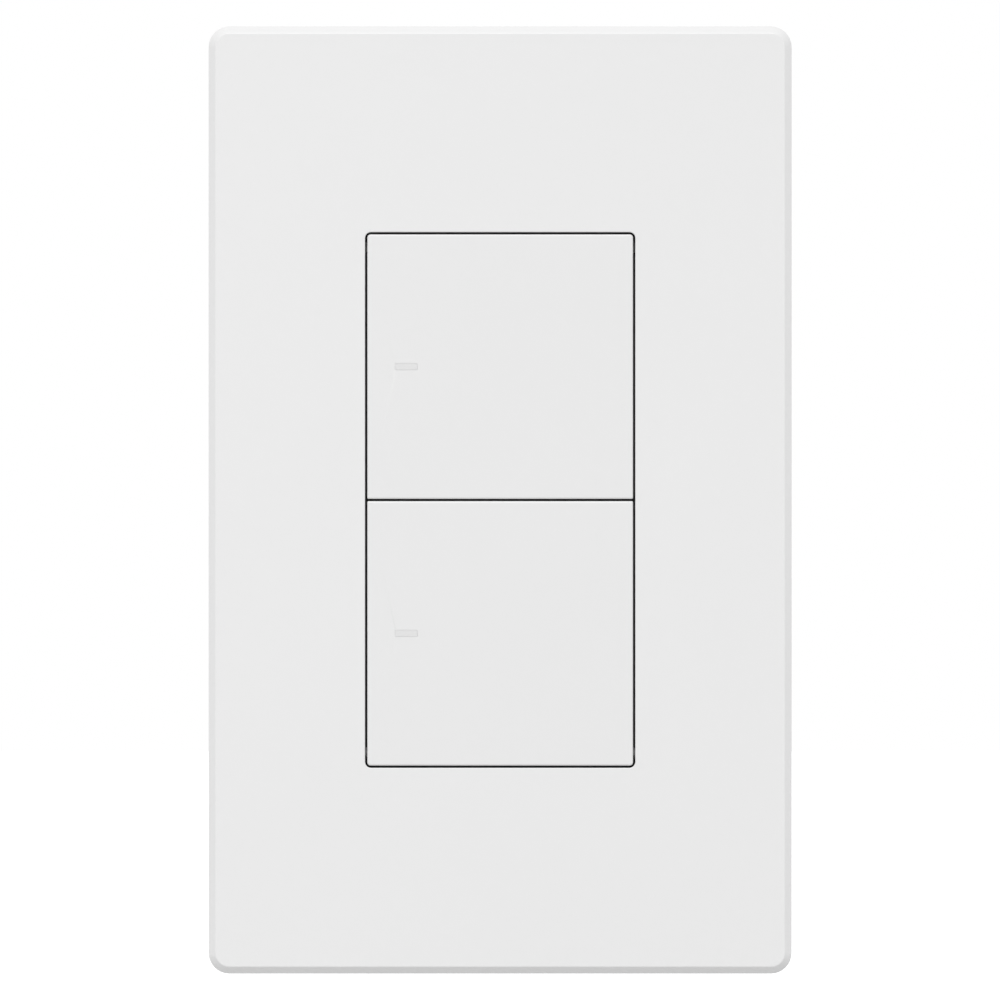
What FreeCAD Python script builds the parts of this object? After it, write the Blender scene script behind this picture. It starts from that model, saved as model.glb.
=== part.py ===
import FreeCAD, Part
import math
import os
import Sketcher

# A two-button smart wall switch in a screwless wall plate, in millimetres.
# X runs to the right, Z up and Y into the wall. The wall's surface is y = 0 and the switch faces -Y.
# The stack grows from the wall: strap, frame, buttons and plate in front, housing and boards behind.

# Driving dimensions
SIZES = (
    ("window_width", 34.1, "opening of the plate, across"),
    ("window_height", 67.6, "opening of the plate, upright"),
    ("window_corner", 0.75, "corner radius of the opening"),
    ("border_side", 19.75, "plate beside the opening"),
    ("border_end", 26.0, "plate above and below the opening"),
    ("plate_wall", 1.8, "face of the plate"),
    ("plate_rim", 1.6, "side wall of the plate"),
    ("plate_corner", 2.6, "corner radius of the plate"),
    ("plate_bevel", 0.9, "bevel around the plate's face"),
    ("rib_wall", 0.9, "ribs inside plate and buttons"),
    ("rib_height", 1.5, "height of the ribs inside the plate"),
    ("rib_offset", 7.2, "rib inside the plate, from the collar"),
    ("lip_wall", 0.9, "lip around the collar, behind the face"),
    ("lip_fit", 0.2, "lip to collar"),
    ("lip_gap", 0.5, "lip to the frame's screw bosses"),
    ("pry_width", 8.0, "notch for lifting the plate, across"),
    ("pry_height", 1.1, "depth of that notch into the rim"),
    ("snap_length", 8.0, "length of a snap hook along its edge"),
    ("snap_leg", 1.1, "thickness of a snap hook"),
    ("snap_barb", 0.5, "reach of a snap hook behind the bracket"),
    ("snap_gap", 0.3, "snap hook to the bracket's edge"),
    ("snap_play", 0.1, "snap hook's barb to the bracket's back"),
    ("snap_floor", 0.3, "snap hook's tip to the wall"),
    ("snap_side_place", 30.0, "side hooks above and below the middle"),
    ("snap_end_place", 20.0, "end hooks left and right of the middle"),
    ("cap_gap", 0.28, "gap around the buttons and between them"),
    ("cap_depth", 4.4, "depth of a button, front to back"),
    ("cap_wall", 1.5, "front wall of a button"),
    ("cap_skirt", 1.2, "side walls of a button"),
    ("cap_corner", 0.3, "bevelled corners of a button"),
    ("cap_edge", 0.2, "bevel of a button's front edge"),
    ("cap_lift", 0.8, "button's back edge to the frame's deck"),
    ("cap_rib_place", 5.5, "button's ribs left and right of the middle"),
    ("cap_rib_height", 1.3, "height of a button's ribs"),
    ("hinge_inset", 1.5, "hinge axis from the button's outer end"),
    ("hinge_cover", 0.7, "collar in front of the hinge hole"),
    ("pin_radius", 0.75, "hinge pin"),
    ("pin_fit", 0.05, "hinge pin in its hole, radial"),
    ("pin_reach", 1.2, "hinge pin beyond the button's side"),
    ("snap_in_depth", 0.5, "lead-in groove of the hinge pin"),
    ("catch_width", 3.0, "retaining hook of a button, across"),
    ("catch_leg", 1.2, "thickness of a retaining hook"),
    ("catch_inset", 0.5, "retaining hook from the button's free end"),
    ("catch_barb", 0.6, "reach of a retaining hook behind the deck"),
    ("catch_play", 0.05, "retaining hook to the deck's back"),
    ("catch_length", 1.0, "retaining hook's barb, front to back"),
    ("catch_land", 0.35, "flat side of that barb, before its slope"),
    ("catch_side", 4.8, "retaining hook from the button's side"),
    ("slot_gap", 0.3, "retaining hook in its slot, all round"),
    ("post_half", 1.2, "half width of a button's pusher post"),
    ("post_play", 0.05, "pusher post to plunger"),
    ("lens_width", 2.85, "indicator bar, across"),
    ("lens_height", 0.85, "indicator bar, upright"),
    ("lens_fit", 0.03, "indicator bar in its slot"),
    ("lens_inset", 3.5, "indicator bar from the button's left side"),
    ("lens_flange", 0.7, "flange around the indicator bar, behind the wall"),
    ("lens_foot", 0.5, "thickness of that flange"),
    ("collar_shadow", 0.12, "collar's inner wall, set back behind the opening's edge"),
    ("collar_wall", 1.2, "wall of the collar around the buttons"),
    ("collar_gap", 0.1, "collar to the back of the plate's face"),
    ("deck_thickness", 1.4, "deck of the frame"),
    ("deck_side", 3.63, "deck beside the collar"),
    ("deck_end", 0.6, "deck above and below the collar"),
    ("deck_corner", 1.2, "bevelled corners of the deck"),
    ("boss_half", 1.9, "half width of a screw boss on the deck"),
    ("boss_height", 1.7, "height of that boss"),
    ("boss_roof", 0.6, "material beyond a screw's pilot hole"),
    ("prop_half", 1.3, "half width of a post that bears on the control board"),
    ("prop_side", 9.0, "that post from the frame's side"),
    ("prop_end", 8.7, "that post from the housing's end wall"),
    ("locator_wall", 1.0, "rib that locates the frame in the strap's window"),
    ("locator_fit", 0.15, "that rib to the window's edge"),
    ("locator_gap", 0.2, "that rib to the strap's back"),
    ("strap_thickness", 1.2, "mounting strap"),
    ("strap_rail", 6.5, "strap beside its window"),
    ("strap_bridge", 3.5, "strap's window edge to the housing screws"),
    ("strap_shoulder", 0.7, "wide part of the strap beyond the deck"),
    ("strap_neck", 13.0, "half width of the strap at the box screws"),
    ("strap_ear", 3.0, "ears from the box screws"),
    ("strap_corner", 1.0, "bevelled corners of the strap"),
    ("ear_end", 4.1, "ears beyond the plate screws"),
    ("score_width", 0.8, "break-off groove of an ear"),
    ("score_depth", 0.4, "depth of that groove"),
    ("score_place", 8.9, "that groove from the ear's side"),
    ("box_reach", 5.95, "box screws from the deck's end"),
    ("box_slot_radius", 2.1, "half height of the box screws' slots"),
    ("box_slot_length", 7.4, "length of those slots"),
    ("box_thread", 1.753, "box screw's thread radius"),
    ("box_neck", 1.45, "box screw's neck through strap and washer"),
    ("box_screw_length", 20.0, "box screw's thread"),
    ("box_head", 3.3, "box screw's head radius"),
    ("box_head_height", 2.0, "box screw's head"),
    ("washer_half", 4.5, "half width of the square fibre washer that keeps a box screw"),
    ("washer_thickness", 0.4, "thickness of that washer"),
    ("washer_hole", 1.75, "hexagonal hole of that washer, to its corners"),
    ("plate_screw_step", 6.75, "plate screws beyond the box screws"),
    ("plate_screw_thread", 1.7, "plate screw's thread radius"),
    ("plate_screw_fit", 0.05, "plate screw in the strap, radial"),
    ("plate_screw_tail", 2.5, "plate screw behind the strap"),
    ("plate_screw_head", 2.8, "plate screw's head radius"),
    ("plate_screw_head_height", 1.6, "plate screw's head"),
    ("bracket_thickness", 1.6, "plate bracket"),
    ("bracket_margin", 2.2, "bracket's edge to the plate's rim"),
    ("bracket_side_gap", 1.0, "bracket's opening beside the deck"),
    ("bracket_end_gap", 1.0, "bracket's opening beyond the deck"),
    ("bracket_corner", 1.5, "bevelled corners of the bracket"),
    ("bracket_flange", 1.0, "raised edge of the bracket"),
    ("bracket_flange_wall", 1.2, "thickness of that edge"),
    ("head_gap", 0.6, "box screw's head in its square opening in the bracket"),
    ("bracket_hole_fit", 0.3, "plate screw in the bracket, radial"),
    ("ground_radius", 2.0, "ground screw's shank"),
    ("ground_head", 3.4, "ground screw's head radius"),
    ("ground_head_height", 2.4, "ground screw's head"),
    ("ground_fit", 0.05, "ground screw in the strap, radial"),
    ("ground_side", 5.0, "ground screw from the strap's side"),
    ("ground_drop", 3.9, "ground screw beyond the strap's shoulder"),
    ("housing_depth", 33.0, "housing behind the wall's surface"),
    ("housing_wall", 1.8, "side walls of the housing"),
    ("housing_back", 2.4, "back wall of the housing"),
    ("housing_inset", 0.8, "housing's end inside the opening's end"),
    ("housing_corner", 3.0, "corner radius of the housing"),
    ("housing_bevel", 1.0, "bevel around the housing's back"),
    ("column_side", 3.13, "screws from the housing's side"),
    ("column_skin", 0.13, "screw column inside the housing's surface"),
    ("column_inset", 4.5, "screws from the housing's end"),
    ("well_half", 2.1, "half width of the square well for a housing screw's head"),
    ("well_floor", 8.0, "floor of that well behind the strap"),
    ("case_screw_radius", 1.1, "housing screw"),
    ("case_screw_fit", 0.05, "housing screw in its holes, radial"),
    ("case_screw_head", 1.9, "housing screw's head radius"),
    ("case_screw_head_height", 1.5, "housing screw's head"),
    ("case_screw_grip", 2.2, "housing screw's grip in the frame"),
    ("bay_depth", 6.5, "terminal bay from the housing's side"),
    ("bay_wall", 1.5, "walls of a terminal bay"),
    ("bay_half", 6.0, "half height of a terminal bay"),
    ("bay_place", 10.5, "terminal bays above and below the middle"),
    ("bay_length", 11.6, "terminal bay, front to back"),
    ("contact_thickness", 1.0, "terminal's contact plate"),
    ("contact_gap", 0.8, "contact plate to the bay's ends"),
    ("contact_half", 4.4, "half height of the contact plate"),
    ("tail_half", 1.5, "half height of the contact's tail"),
    ("tail_fit", 0.1, "contact's tail in its slot"),
    ("wire_space", 2.2, "wire space between contact and clamp"),
    ("wire_offset", 3.3, "wire ports above and below the terminal screw"),
    ("wire_port", 1.1, "wire port's radius"),
    ("clamp_thickness", 1.0, "wire clamp plate"),
    ("clamp_half", 4.8, "half size of the clamp plate"),
    ("terminal_thread", 1.75, "terminal screw's radius"),
    ("terminal_fit", 0.05, "terminal screw in its plates, radial"),
    ("terminal_head", 3.5, "terminal screw's head radius"),
    ("terminal_head_height", 2.0, "terminal screw's head"),
    ("terminal_tip", 0.2, "terminal screw's tip to the bay's floor"),
    ("board_thickness", 1.2, "control board"),
    ("power_thickness", 1.6, "power board"),
    ("board_gap", 0.4, "boards to the housing's walls and columns"),
    ("spacer_radius", 1.7, "hexagonal spacer between the boards, to its corners"),
    ("spacer_side", 2.6, "spacer from the housing's side wall"),
    ("spacer_end", 10.7, "spacer from the housing's end wall"),
    ("tact_gap", 0.3, "push switch to the frame's deck"),
    ("tact_height", 3.5, "push switch on the board"),
    ("tact_width", 6.2, "push switch, both ways"),
    ("tact_place", 5.6, "push switches above and below the middle"),
    ("tact_corner", 0.7, "bevelled corners of a push switch"),
    ("tact_leg", 1.0, "leg of a push switch, beyond its body"),
    ("tact_leg_width", 1.0, "width of that leg"),
    ("tact_leg_thickness", 0.25, "thickness of that leg"),
    ("tact_leg_place", 1.55, "legs above and below a push switch's middle"),
    ("tact_bore_depth", 2.1, "depth of a push switch's opening"),
    ("plunger_half", 1.6, "half width of the square plunger"),
    ("plunger_fit", 0.05, "plunger to the sides of its push switch's opening"),
    ("plunger_hole_gap", 0.35, "plunger to the sides of its hole in the deck"),
    ("plunger_proud", 0.3, "plunger in front of the deck"),
    ("plunger_seat", 1.2, "plunger inside its push switch"),
    ("led_width", 3.0, "light source on the board, across"),
    ("led_height", 1.6, "light source, upright"),
    ("led_thickness", 0.8, "light source, front to back"),
    ("guide_width", 2.85, "light guide, across"),
    ("guide_height", 1.4, "light guide, upright"),
    ("guide_fit", 0.03, "light guide in the deck, all round"),
    ("guide_flange", 0.7, "flange around the light guide, behind the deck"),
    ("guide_flange_thickness", 0.6, "thickness of that flange"),
    ("guide_gap", 0.3, "light source to light guide"),
    ("guide_lens_gap", 0.45, "light guide to the indicator bar"),
    ("radio_width", 12.0, "radio module, across"),
    ("radio_height", 15.0, "radio module, upright"),
    ("radio_thickness", 2.4, "radio module with its shield"),
    ("radio_carrier", 0.8, "radio module's own board"),
    ("shield_inset", 1.0, "shield to the edges of that board"),
    ("antenna_length", 4.0, "bare end of that board, above the shield"),
    ("radio_side", 1.5, "radio module right of the middle"),
    ("radio_end", 6.2, "radio module's upper end from the housing's end wall"),
    ("header_width", 12.7, "board connector, across"),
    ("header_height", 2.5, "board connector, upright"),
    ("header_place", 14.0, "board connector below the middle"),
    ("part_gap", 0.6, "tall components to the housing's back"),
    ("case_bevel", 0.4, "bevel around a component's case"),
    ("relay_width", 20.0, "relay, across"),
    ("relay_height", 10.0, "relay, upright"),
    ("relay_gap", 0.9, "relay beyond the terminal bays"),
    ("core_width", 16.0, "transformer's core, across"),
    ("core_height", 9.0, "transformer's core, upright"),
    ("coil_height", 13.5, "transformer's winding, upright"),
    ("coil_width", 9.0, "transformer's winding, across"),
    ("coil_inset", 1.6, "winding from the core's ends, front to back"),
    ("core_side", 4.2, "transformer left of the middle"),
    ("core_place", 7.6, "transformer above the middle"),
    ("film_width", 13.0, "film capacitor, across"),
    ("film_height", 6.0, "film capacitor, upright"),
    ("film_side", 5.0, "film capacitor left of the middle"),
    ("film_place", 9.5, "film capacitor below the middle"),
    ("can_radius", 4.2, "electrolytic capacitor"),
    ("can_side", 8.9, "electrolytic capacitor right of the middle"),
    ("can_place", 8.0, "electrolytic capacitor above the middle"),
    ("disc_radius", 4.6, "surge absorber's disc"),
    ("disc_thickness", 3.6, "thickness of that disc"),
    ("disc_side", 7.6, "surge absorber right of the middle"),
    ("disc_place", 7.5, "surge absorber below the middle"),
    ("disc_lead", 2.2, "surge absorber's legs"),
    ("disc_leg_half", 0.35, "half width of those legs"),
    ("disc_leg_place", 2.3, "those legs left and right of the disc's middle"),
)

NEAR = 1e-4
HEXAGON_HALF = 0.8660254

doc = FreeCAD.newDocument("WallSwitch")
sheet = doc.addObject("Spreadsheet::Sheet", "Sizes")
for row, (alias, number, meaning) in enumerate(SIZES, start=1):
    sheet.set(f"A{row}", alias)
    sheet.set(f"B{row}", str(number))
    sheet.setAlias(f"B{row}", alias)
    sheet.set(f"C{row}", meaning)
doc.recompute()


class Size:
    """A length: its value in millimetres, and the formula over the sheet's cells that gives it."""

    def __init__(self, value, formula):
        self.value = value
        self.formula = formula

    def __add__(self, other):
        other = as_size(other)
        return Size(self.value + other.value, f"({self.formula} + {other.formula})")

    def __sub__(self, other):
        other = as_size(other)
        return Size(self.value - other.value, f"({self.formula} - {other.formula})")

    def __mul__(self, factor):
        return Size(self.value * factor, f"({self.formula} * {factor})")

    def __truediv__(self, divisor):
        return Size(self.value / divisor, f"({self.formula} / {divisor})")

    def __neg__(self):
        return self * -1

    __rmul__ = __mul__


def as_size(number):
    """A plain number as a size of its own."""
    return number if isinstance(number, Size) else Size(float(number), str(number))


cell = {alias: Size(number, f"Sizes.{alias}") for alias, number, _ in SIZES}
ZERO = Size(0.0, "0")


# Places that more than one piece uses, worked out from the sheet
window_x = cell["window_width"] / 2
window_z = cell["window_height"] / 2
plate_x = window_x + cell["border_side"]
plate_z = window_z + cell["border_end"]
rim_x = plate_x - cell["plate_rim"]
rim_z = plate_z - cell["plate_rim"]

strap_front = -cell["strap_thickness"]
deck_rear = strap_front
deck_front = deck_rear - cell["deck_thickness"]
cap_rear = deck_front - cell["cap_lift"]
face_front = cap_rear - cell["cap_depth"]
face_rear = face_front + cell["plate_wall"]

collar_inner_x = window_x + cell["collar_shadow"]
collar_inner_z = window_z + cell["collar_shadow"]
collar_x = collar_inner_x + cell["collar_wall"]
collar_z = collar_inner_z + cell["collar_wall"]
collar_front = face_rear + cell["collar_gap"]
deck_x = collar_x + cell["deck_side"]
deck_z = collar_z + cell["deck_end"]
boss_front = deck_front - cell["boss_height"]

cap_x = window_x - cell["cap_gap"]
cap_end = window_z - cell["cap_gap"]
cap_mid = cell["cap_gap"] / 2
cap_centre = (cap_mid + cap_end) / 2
cap_ceiling = face_front + cell["cap_wall"]
hinge_y = collar_front + cell["hinge_cover"] + cell["pin_radius"] + cell["pin_fit"]
hinge_z = cap_end - cell["hinge_inset"]
lens_x = cell["lens_inset"] + cell["lens_width"] / 2 - cap_x

catch_x = cap_x - cell["catch_side"]
catch_low = cap_mid + cell["catch_inset"]
catch_high = catch_low + cell["catch_leg"]
catch_face = deck_rear + cell["catch_play"]
catch_tip = catch_face + cell["catch_length"]

tact_front = deck_rear + cell["tact_gap"]
board_front = tact_front + cell["tact_height"]
board_rear = board_front + cell["board_thickness"]
plunger_front = deck_front - cell["plunger_proud"]
plunger_rear = tact_front + cell["plunger_seat"]

housing_x = deck_x
screw_x = housing_x - cell["column_side"]
column_half = cell["column_side"] - cell["column_skin"]
housing_z = window_z - cell["housing_inset"]
screw_z = housing_z - cell["column_inset"]
housing_rear = cell["housing_depth"]
inner_x = housing_x - cell["housing_wall"]
inner_z = housing_z - cell["housing_wall"]
inner_rear = housing_rear - cell["housing_back"]
bay_front = inner_rear - cell["bay_length"]
bay_floor_x = housing_x - cell["bay_depth"]
bay_inner_x = bay_floor_x - cell["bay_wall"]
power_rear = bay_front - cell["bay_wall"]
power_front = power_rear - cell["power_thickness"]
tall_rear = inner_rear - cell["part_gap"]

contact_x = bay_floor_x + cell["contact_thickness"]
clamp_x = contact_x + cell["wire_space"]
clamp_outer_x = clamp_x + cell["clamp_thickness"]
wire_x = contact_x + cell["wire_space"] / 2
terminal_y = (bay_front + inner_rear) / 2

strap_x = deck_x
window_rail_x = strap_x - cell["strap_rail"]
window_rail_z = screw_z - cell["strap_bridge"]
shoulder_z = deck_z + cell["strap_shoulder"]
box_z = deck_z + cell["box_reach"]
plate_screw_z = box_z + cell["plate_screw_step"]
ear_z = box_z + cell["strap_ear"]
strap_end = plate_screw_z + cell["ear_end"]
ground_x = cell["ground_side"] - strap_x
ground_z = -(shoulder_z + cell["ground_drop"])

bracket_front = strap_front - cell["bracket_thickness"]
bracket_x = rim_x - cell["bracket_margin"]
bracket_z = rim_z - cell["bracket_margin"]
bracket_inner_x = deck_x + cell["bracket_side_gap"]
bracket_inner_z = deck_z + cell["bracket_end_gap"]

SIDES = (1, -1)
CORNERS = tuple((across, up) for across in SIDES for up in SIDES)
AS_DRAWN = FreeCAD.Rotation()
OTHER_SIDE = FreeCAD.Rotation(FreeCAD.Vector(0, 1, 0), 180)
REARWARD = FreeCAD.Rotation(FreeCAD.Vector(1, 0, 0), -90)


def in_order(first, second):
    """Two places, the lower one first."""
    return (first, second) if first.value < second.value else (second, first)


def bind(item, prop, size):
    """Give a property its value and the formula that keeps it."""
    if isinstance(size, Size):
        item.setExpression(prop, size.formula)
    else:
        setattr(item, prop, size)


def place(item, x, y, z, turn=AS_DRAWN):
    """Put an object at a point, turned about its own origin."""
    item.Placement = FreeCAD.Placement(FreeCAD.Vector(), turn)
    for axis, where in zip("xyz", (x, y, z)):
        item.setExpression(f"Placement.Base.{axis}", where.formula)


# Outlines, each a function that draws itself on a sketch and ties itself to the sheet
def pin_point(sketch, element, point, x, y):
    """Tie a point of a sketch to its two coordinates."""
    for kind, axis, where in (("DistanceX", -2, x), ("DistanceY", -1, y)):
        if where is ZERO:
            sketch.addConstraint(Sketcher.Constraint("PointOnObject", element, point, axis))
        else:
            rule = Sketcher.Constraint(kind, -1, 1, element, point, where.value)
            number = sketch.addConstraint(rule)
            sketch.setExpression(f"Constraints[{number}]", where.formula)


def pin_radius(sketch, element, radius):
    """Tie a circle's or an arc's radius."""
    number = sketch.addConstraint(Sketcher.Constraint("Radius", element, radius.value))
    sketch.setExpression(f"Constraints[{number}]", radius.formula)


def polygon(*points):
    """A closed outline of straight edges."""

    def draw(sketch):
        first = sketch.GeometryCount
        corners = [FreeCAD.Vector(x.value, y.value, 0) for x, y in points]
        count = len(corners)
        for number, corner in enumerate(corners):
            sketch.addGeometry(Part.LineSegment(corner, corners[(number + 1) % count]))
        for number, (x, y) in enumerate(points):
            after = first + (number + 1) % count
            sketch.addConstraint(Sketcher.Constraint("Coincident", first + number, 2, after, 1))
            pin_point(sketch, first + number, 1, x, y)

    return draw


def rectangle(left, low, right, high):
    """A rectangle between two corners."""
    return polygon((left, low), (right, low), (right, high), (left, high))


def centred(half_x, half_z):
    """A rectangle about the origin."""
    return rectangle(-half_x, -half_z, half_x, half_z)


def around(x, z, half_x, half_z):
    """A rectangle about a point."""
    return rectangle(x - half_x, z - half_z, x + half_x, z + half_z)


def circle(x, y, radius):
    """A circle about a point."""

    def draw(sketch):
        element = sketch.GeometryCount
        middle = FreeCAD.Vector(x.value, y.value, 0)
        sketch.addGeometry(Part.Circle(middle, FreeCAD.Vector(0, 0, 1), radius.value))
        pin_point(sketch, element, 3, x, y)
        pin_radius(sketch, element, radius)

    return draw


def hexagon(x, z, radius):
    """A hexagon about a point, with two corners level with it."""
    across, up = radius / 2, radius * HEXAGON_HALF
    right = ((x + across, z - up), (x + radius, z), (x + across, z + up))
    left = ((x - across, z + up), (x - radius, z), (x - across, z - up))
    return polygon(*right, *left)


def slot(z, length, radius):
    """A slot with round ends, centred on the Z axis and running along X."""
    reach = length / 2 - radius

    def draw(sketch):
        first = sketch.GeometryCount
        up = FreeCAD.Vector(0, 0, 1)
        middles = [FreeCAD.Vector(side * reach.value, z.value, 0) for side in SIDES]
        for turn, middle in enumerate(middles):
            whole = Part.Circle(middle, up, radius.value)
            start = (turn - 0.5) * math.pi
            sketch.addGeometry(Part.ArcOfCircle(whole, start, start + math.pi))
        for way in SIDES:
            ends = [FreeCAD.Vector(m.x, z.value + way * radius.value, 0) for m in middles]
            sketch.addGeometry(Part.LineSegment(*(ends if way == 1 else ends[::-1])))
        right, left, top, bottom = range(first, first + 4)
        for line, line_end, arc, arc_end in (
            (top, 1, right, 2),
            (top, 2, left, 1),
            (bottom, 1, left, 2),
            (bottom, 2, right, 1),
        ):
            sketch.addConstraint(Sketcher.Constraint("Tangent", line, line_end, arc, arc_end))
        pin_point(sketch, right, 3, reach, z)
        pin_point(sketch, left, 3, -reach, z)
        sketch.addConstraint(Sketcher.Constraint("Equal", right, left))
        pin_radius(sketch, right, radius)

    return draw


# Features of a body. XZ sketches face the viewer, YZ sketches face right and XY sketches face up.
def new_body(label):
    """An empty body under its own name."""
    body = doc.addObject("PartDesign::Body", label)
    body.Label = label
    return body


def sketch_on(body, name, role, offset, outlines):
    """A sketch on one of the body's own planes, shifted along its normal."""
    plane = next(item for item in body.Origin.OriginFeatures if item.Role == role)
    sketch = body.newObject("Sketcher::SketchObject", name + "Sketch")
    sketch.AttachmentSupport = [(plane, "")]
    sketch.MapMode = "FlatFace"
    sketch.setExpression("AttachmentOffset.Base.z", offset.formula)
    for draw in outlines:
        draw(sketch)
    return sketch


def feature(body, kind, name, sketch, length):
    """A pad or a pocket of a sketch, as the body's new tip."""
    item = body.newObject(f"PartDesign::{kind}", name)
    item.Profile = sketch
    item.Type = "Length"
    bind(item, "Length", length)
    body.Tip = item
    return item


def grow(body, name, rear, front, *outlines):
    """Material between two depths, from outlines in XZ."""
    sketch = sketch_on(body, name, "XZ_Plane", -rear, outlines)
    return feature(body, "Pad", name, sketch, rear - front)


def carve(body, name, front, rear, *outlines):
    """A cut between two depths, from outlines in XZ."""
    sketch = sketch_on(body, name, "XZ_Plane", -front, outlines)
    return feature(body, "Pocket", name, sketch, rear - front)


def grow_across(body, name, left, right, *outlines):
    """Material between two places across, from outlines in YZ."""
    sketch = sketch_on(body, name, "YZ_Plane", left, outlines)
    return feature(body, "Pad", name, sketch, right - left)


def carve_across(body, name, left, right, *outlines):
    """A cut between two places across, from outlines in YZ."""
    sketch = sketch_on(body, name, "YZ_Plane", right, outlines)
    return feature(body, "Pocket", name, sketch, right - left)


def grow_up(body, name, low, high, *outlines):
    """Material between two heights, from outlines in XY."""
    sketch = sketch_on(body, name, "XY_Plane", low, outlines)
    return feature(body, "Pad", name, sketch, high - low)


def reflect(body, name, features, role):
    """The same features on the other side of one of the body's planes."""
    item = body.newObject("PartDesign::Mirrored", name)
    item.Originals = features
    plane = next(part for part in body.Origin.OriginFeatures if part.Role == role)
    item.MirrorPlane = (plane, [""])
    body.Tip = item
    return item


def dress(body, kind, name, size, wanted):
    """A fillet or chamfer on the edges that a test picks."""
    doc.recompute()
    base = body.Tip
    edges = base.Shape.Edges
    names = [f"Edge{number}" for number, edge in enumerate(edges, 1) if wanted(edge)]
    if not names:
        raise RuntimeError(f"{body.Label}: no edge for {name}")
    item = body.newObject(f"PartDesign::{kind}", name)
    item.Base = (base, names)
    bind(item, "Radius" if kind == "Fillet" else "Size", size)
    body.Tip = item
    return item


def along_y(edge, x=None, z=None):
    """Does an edge run front to back, at this distance from the middle where one is given?"""
    start, end = edge.Vertexes[0].Point, edge.Vertexes[-1].Point
    if abs(start.x - end.x) > NEAR or abs(start.z - end.z) > NEAR or abs(start.y - end.y) < NEAR:
        return False
    fits_x = x is None or abs(abs(start.x) - x.value) < NEAR
    fits_z = z is None or abs(abs(start.z) - z.value) < NEAR
    return fits_x and fits_z


def at_depth(edge, depth):
    """Does an edge lie flat at this depth?"""
    box = edge.BoundBox
    return abs(box.YMin - depth.value) < NEAR and abs(box.YMax - depth.value) < NEAR


# Pieces from plain solids
def block(name, left, right, front, rear, low, high):
    """A box between three pairs of places."""
    item = doc.addObject("Part::Box", name)
    bind(item, "Length", right - left)
    bind(item, "Width", rear - front)
    bind(item, "Height", high - low)
    place(item, left, front, low)
    return item


def rod(name, x, z, front, rear, radius):
    """A cylinder that runs front to back."""
    item = doc.addObject("Part::Cylinder", name)
    bind(item, "Radius", radius)
    bind(item, "Height", rear - front)
    place(item, x, front, z, REARWARD)
    return item


def joined(label, items):
    """Solids that are one piece."""
    item = doc.addObject("Part::MultiFuse", label)
    item.Shapes = items
    item.Refine = True
    item.Label = label
    return item


def copies(label, pattern, places):
    """Identical loose pieces: a pattern piece at several places, each x, z and a turn about Y."""
    links = []
    for number, (x, z, turn) in enumerate(places, start=1):
        link = doc.addObject("App::Link", f"{label}_{number}")
        link.LinkedObject = pattern
        place(link, x, ZERO, z, turn)
        links.append(link)
    item = doc.addObject("Part::Compound", label)
    item.Links = links
    item.Label = label
    return item


# The wall plate
def faceplate():
    """The screwless plate: a bevelled shell with the buttons' opening, ribs, a lip and snap hooks."""
    body = new_body("faceplate")
    grow(body, "Block", ZERO, face_front, centred(plate_x, plate_z))
    dress(body, "Fillet", "Corners", cell["plate_corner"], lambda edge: along_y(edge, plate_x, plate_z))
    dress(body, "Chamfer", "Bevel", cell["plate_bevel"], lambda edge: at_depth(edge, face_front))
    carve(body, "Hollow", face_rear, ZERO, centred(rim_x, rim_z))
    carve(body, "Opening", face_front, face_rear, centred(window_x, window_z))

    def opening_corner(edge):
        return along_y(edge, window_x, window_z)

    dress(body, "Fillet", "OpeningCorners", cell["window_corner"], opening_corner)
    lip_inner = cell["lip_fit"]
    lip_outer = cell["lip_fit"] + cell["lip_wall"]
    lip_rear = boss_front - cell["lip_gap"]
    grow(
        body,
        "Lip",
        lip_rear,
        face_rear,
        centred(collar_x + lip_outer, collar_z + lip_outer),
        centred(collar_x + lip_inner, collar_z + lip_inner),
    )
    rib_rear = face_rear + cell["rib_height"]
    rib_x = collar_x + cell["rib_offset"]
    rib_z = collar_z + cell["rib_offset"]
    rib_half = cell["rib_wall"] / 2
    long_rib = rectangle(rib_x - rib_half, -rim_z, rib_x + rib_half, rim_z)
    uprights = grow(body, "Uprights", rib_rear, face_rear, long_rib)
    reflect(body, "UprightPair", [uprights], "YZ_Plane")
    cross_rib = rectangle(-rim_x, rib_z - rib_half, rim_x, rib_z + rib_half)
    crossbars = grow(body, "Crossbars", rib_rear, face_rear, cross_rib)
    reflect(body, "CrossbarPair", [crossbars], "XY_Plane")

    half_hook = cell["snap_length"] / 2
    catch = strap_front + cell["snap_play"]
    floor = -cell["snap_floor"]

    def hook_points(edge_of_bracket):
        inner = edge_of_bracket + cell["snap_gap"]
        outer = inner + cell["snap_leg"]
        nose = edge_of_bracket - cell["snap_barb"]
        return (
            (outer, face_rear),
            (outer, floor),
            (inner, floor),
            (nose, catch),
            (inner, catch),
            (inner, face_rear),
        )

    low, high = (cell["snap_side_place"] + way * half_hook for way in (-1, 1))
    side_hook = grow_up(body, "SideHook", low, high, polygon(*hook_points(bracket_x)))
    reflect(body, "SideHooksAcross", [side_hook], "YZ_Plane")
    low_hook = grow_up(body, "LowSideHook", -high, -low, polygon(*hook_points(bracket_x)))
    reflect(body, "LowSideHooksAcross", [low_hook], "YZ_Plane")
    upright = [(depth, up) for up, depth in hook_points(bracket_z)]
    left, right = (cell["snap_end_place"] + way * half_hook for way in (-1, 1))
    end_hook = grow_across(body, "EndHook", left, right, polygon(*upright))
    reflect(body, "EndHooksDown", [end_hook], "XY_Plane")
    far_hook = grow_across(body, "FarEndHook", -right, -left, polygon(*upright))
    reflect(body, "FarEndHooksDown", [far_hook], "XY_Plane")
    half_notch = cell["pry_width"] / 2
    notch = rectangle(-half_notch, -plate_z, half_notch, -rim_z)
    carve(body, "LiftNotch", -cell["pry_height"], ZERO, notch)
    return body


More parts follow.
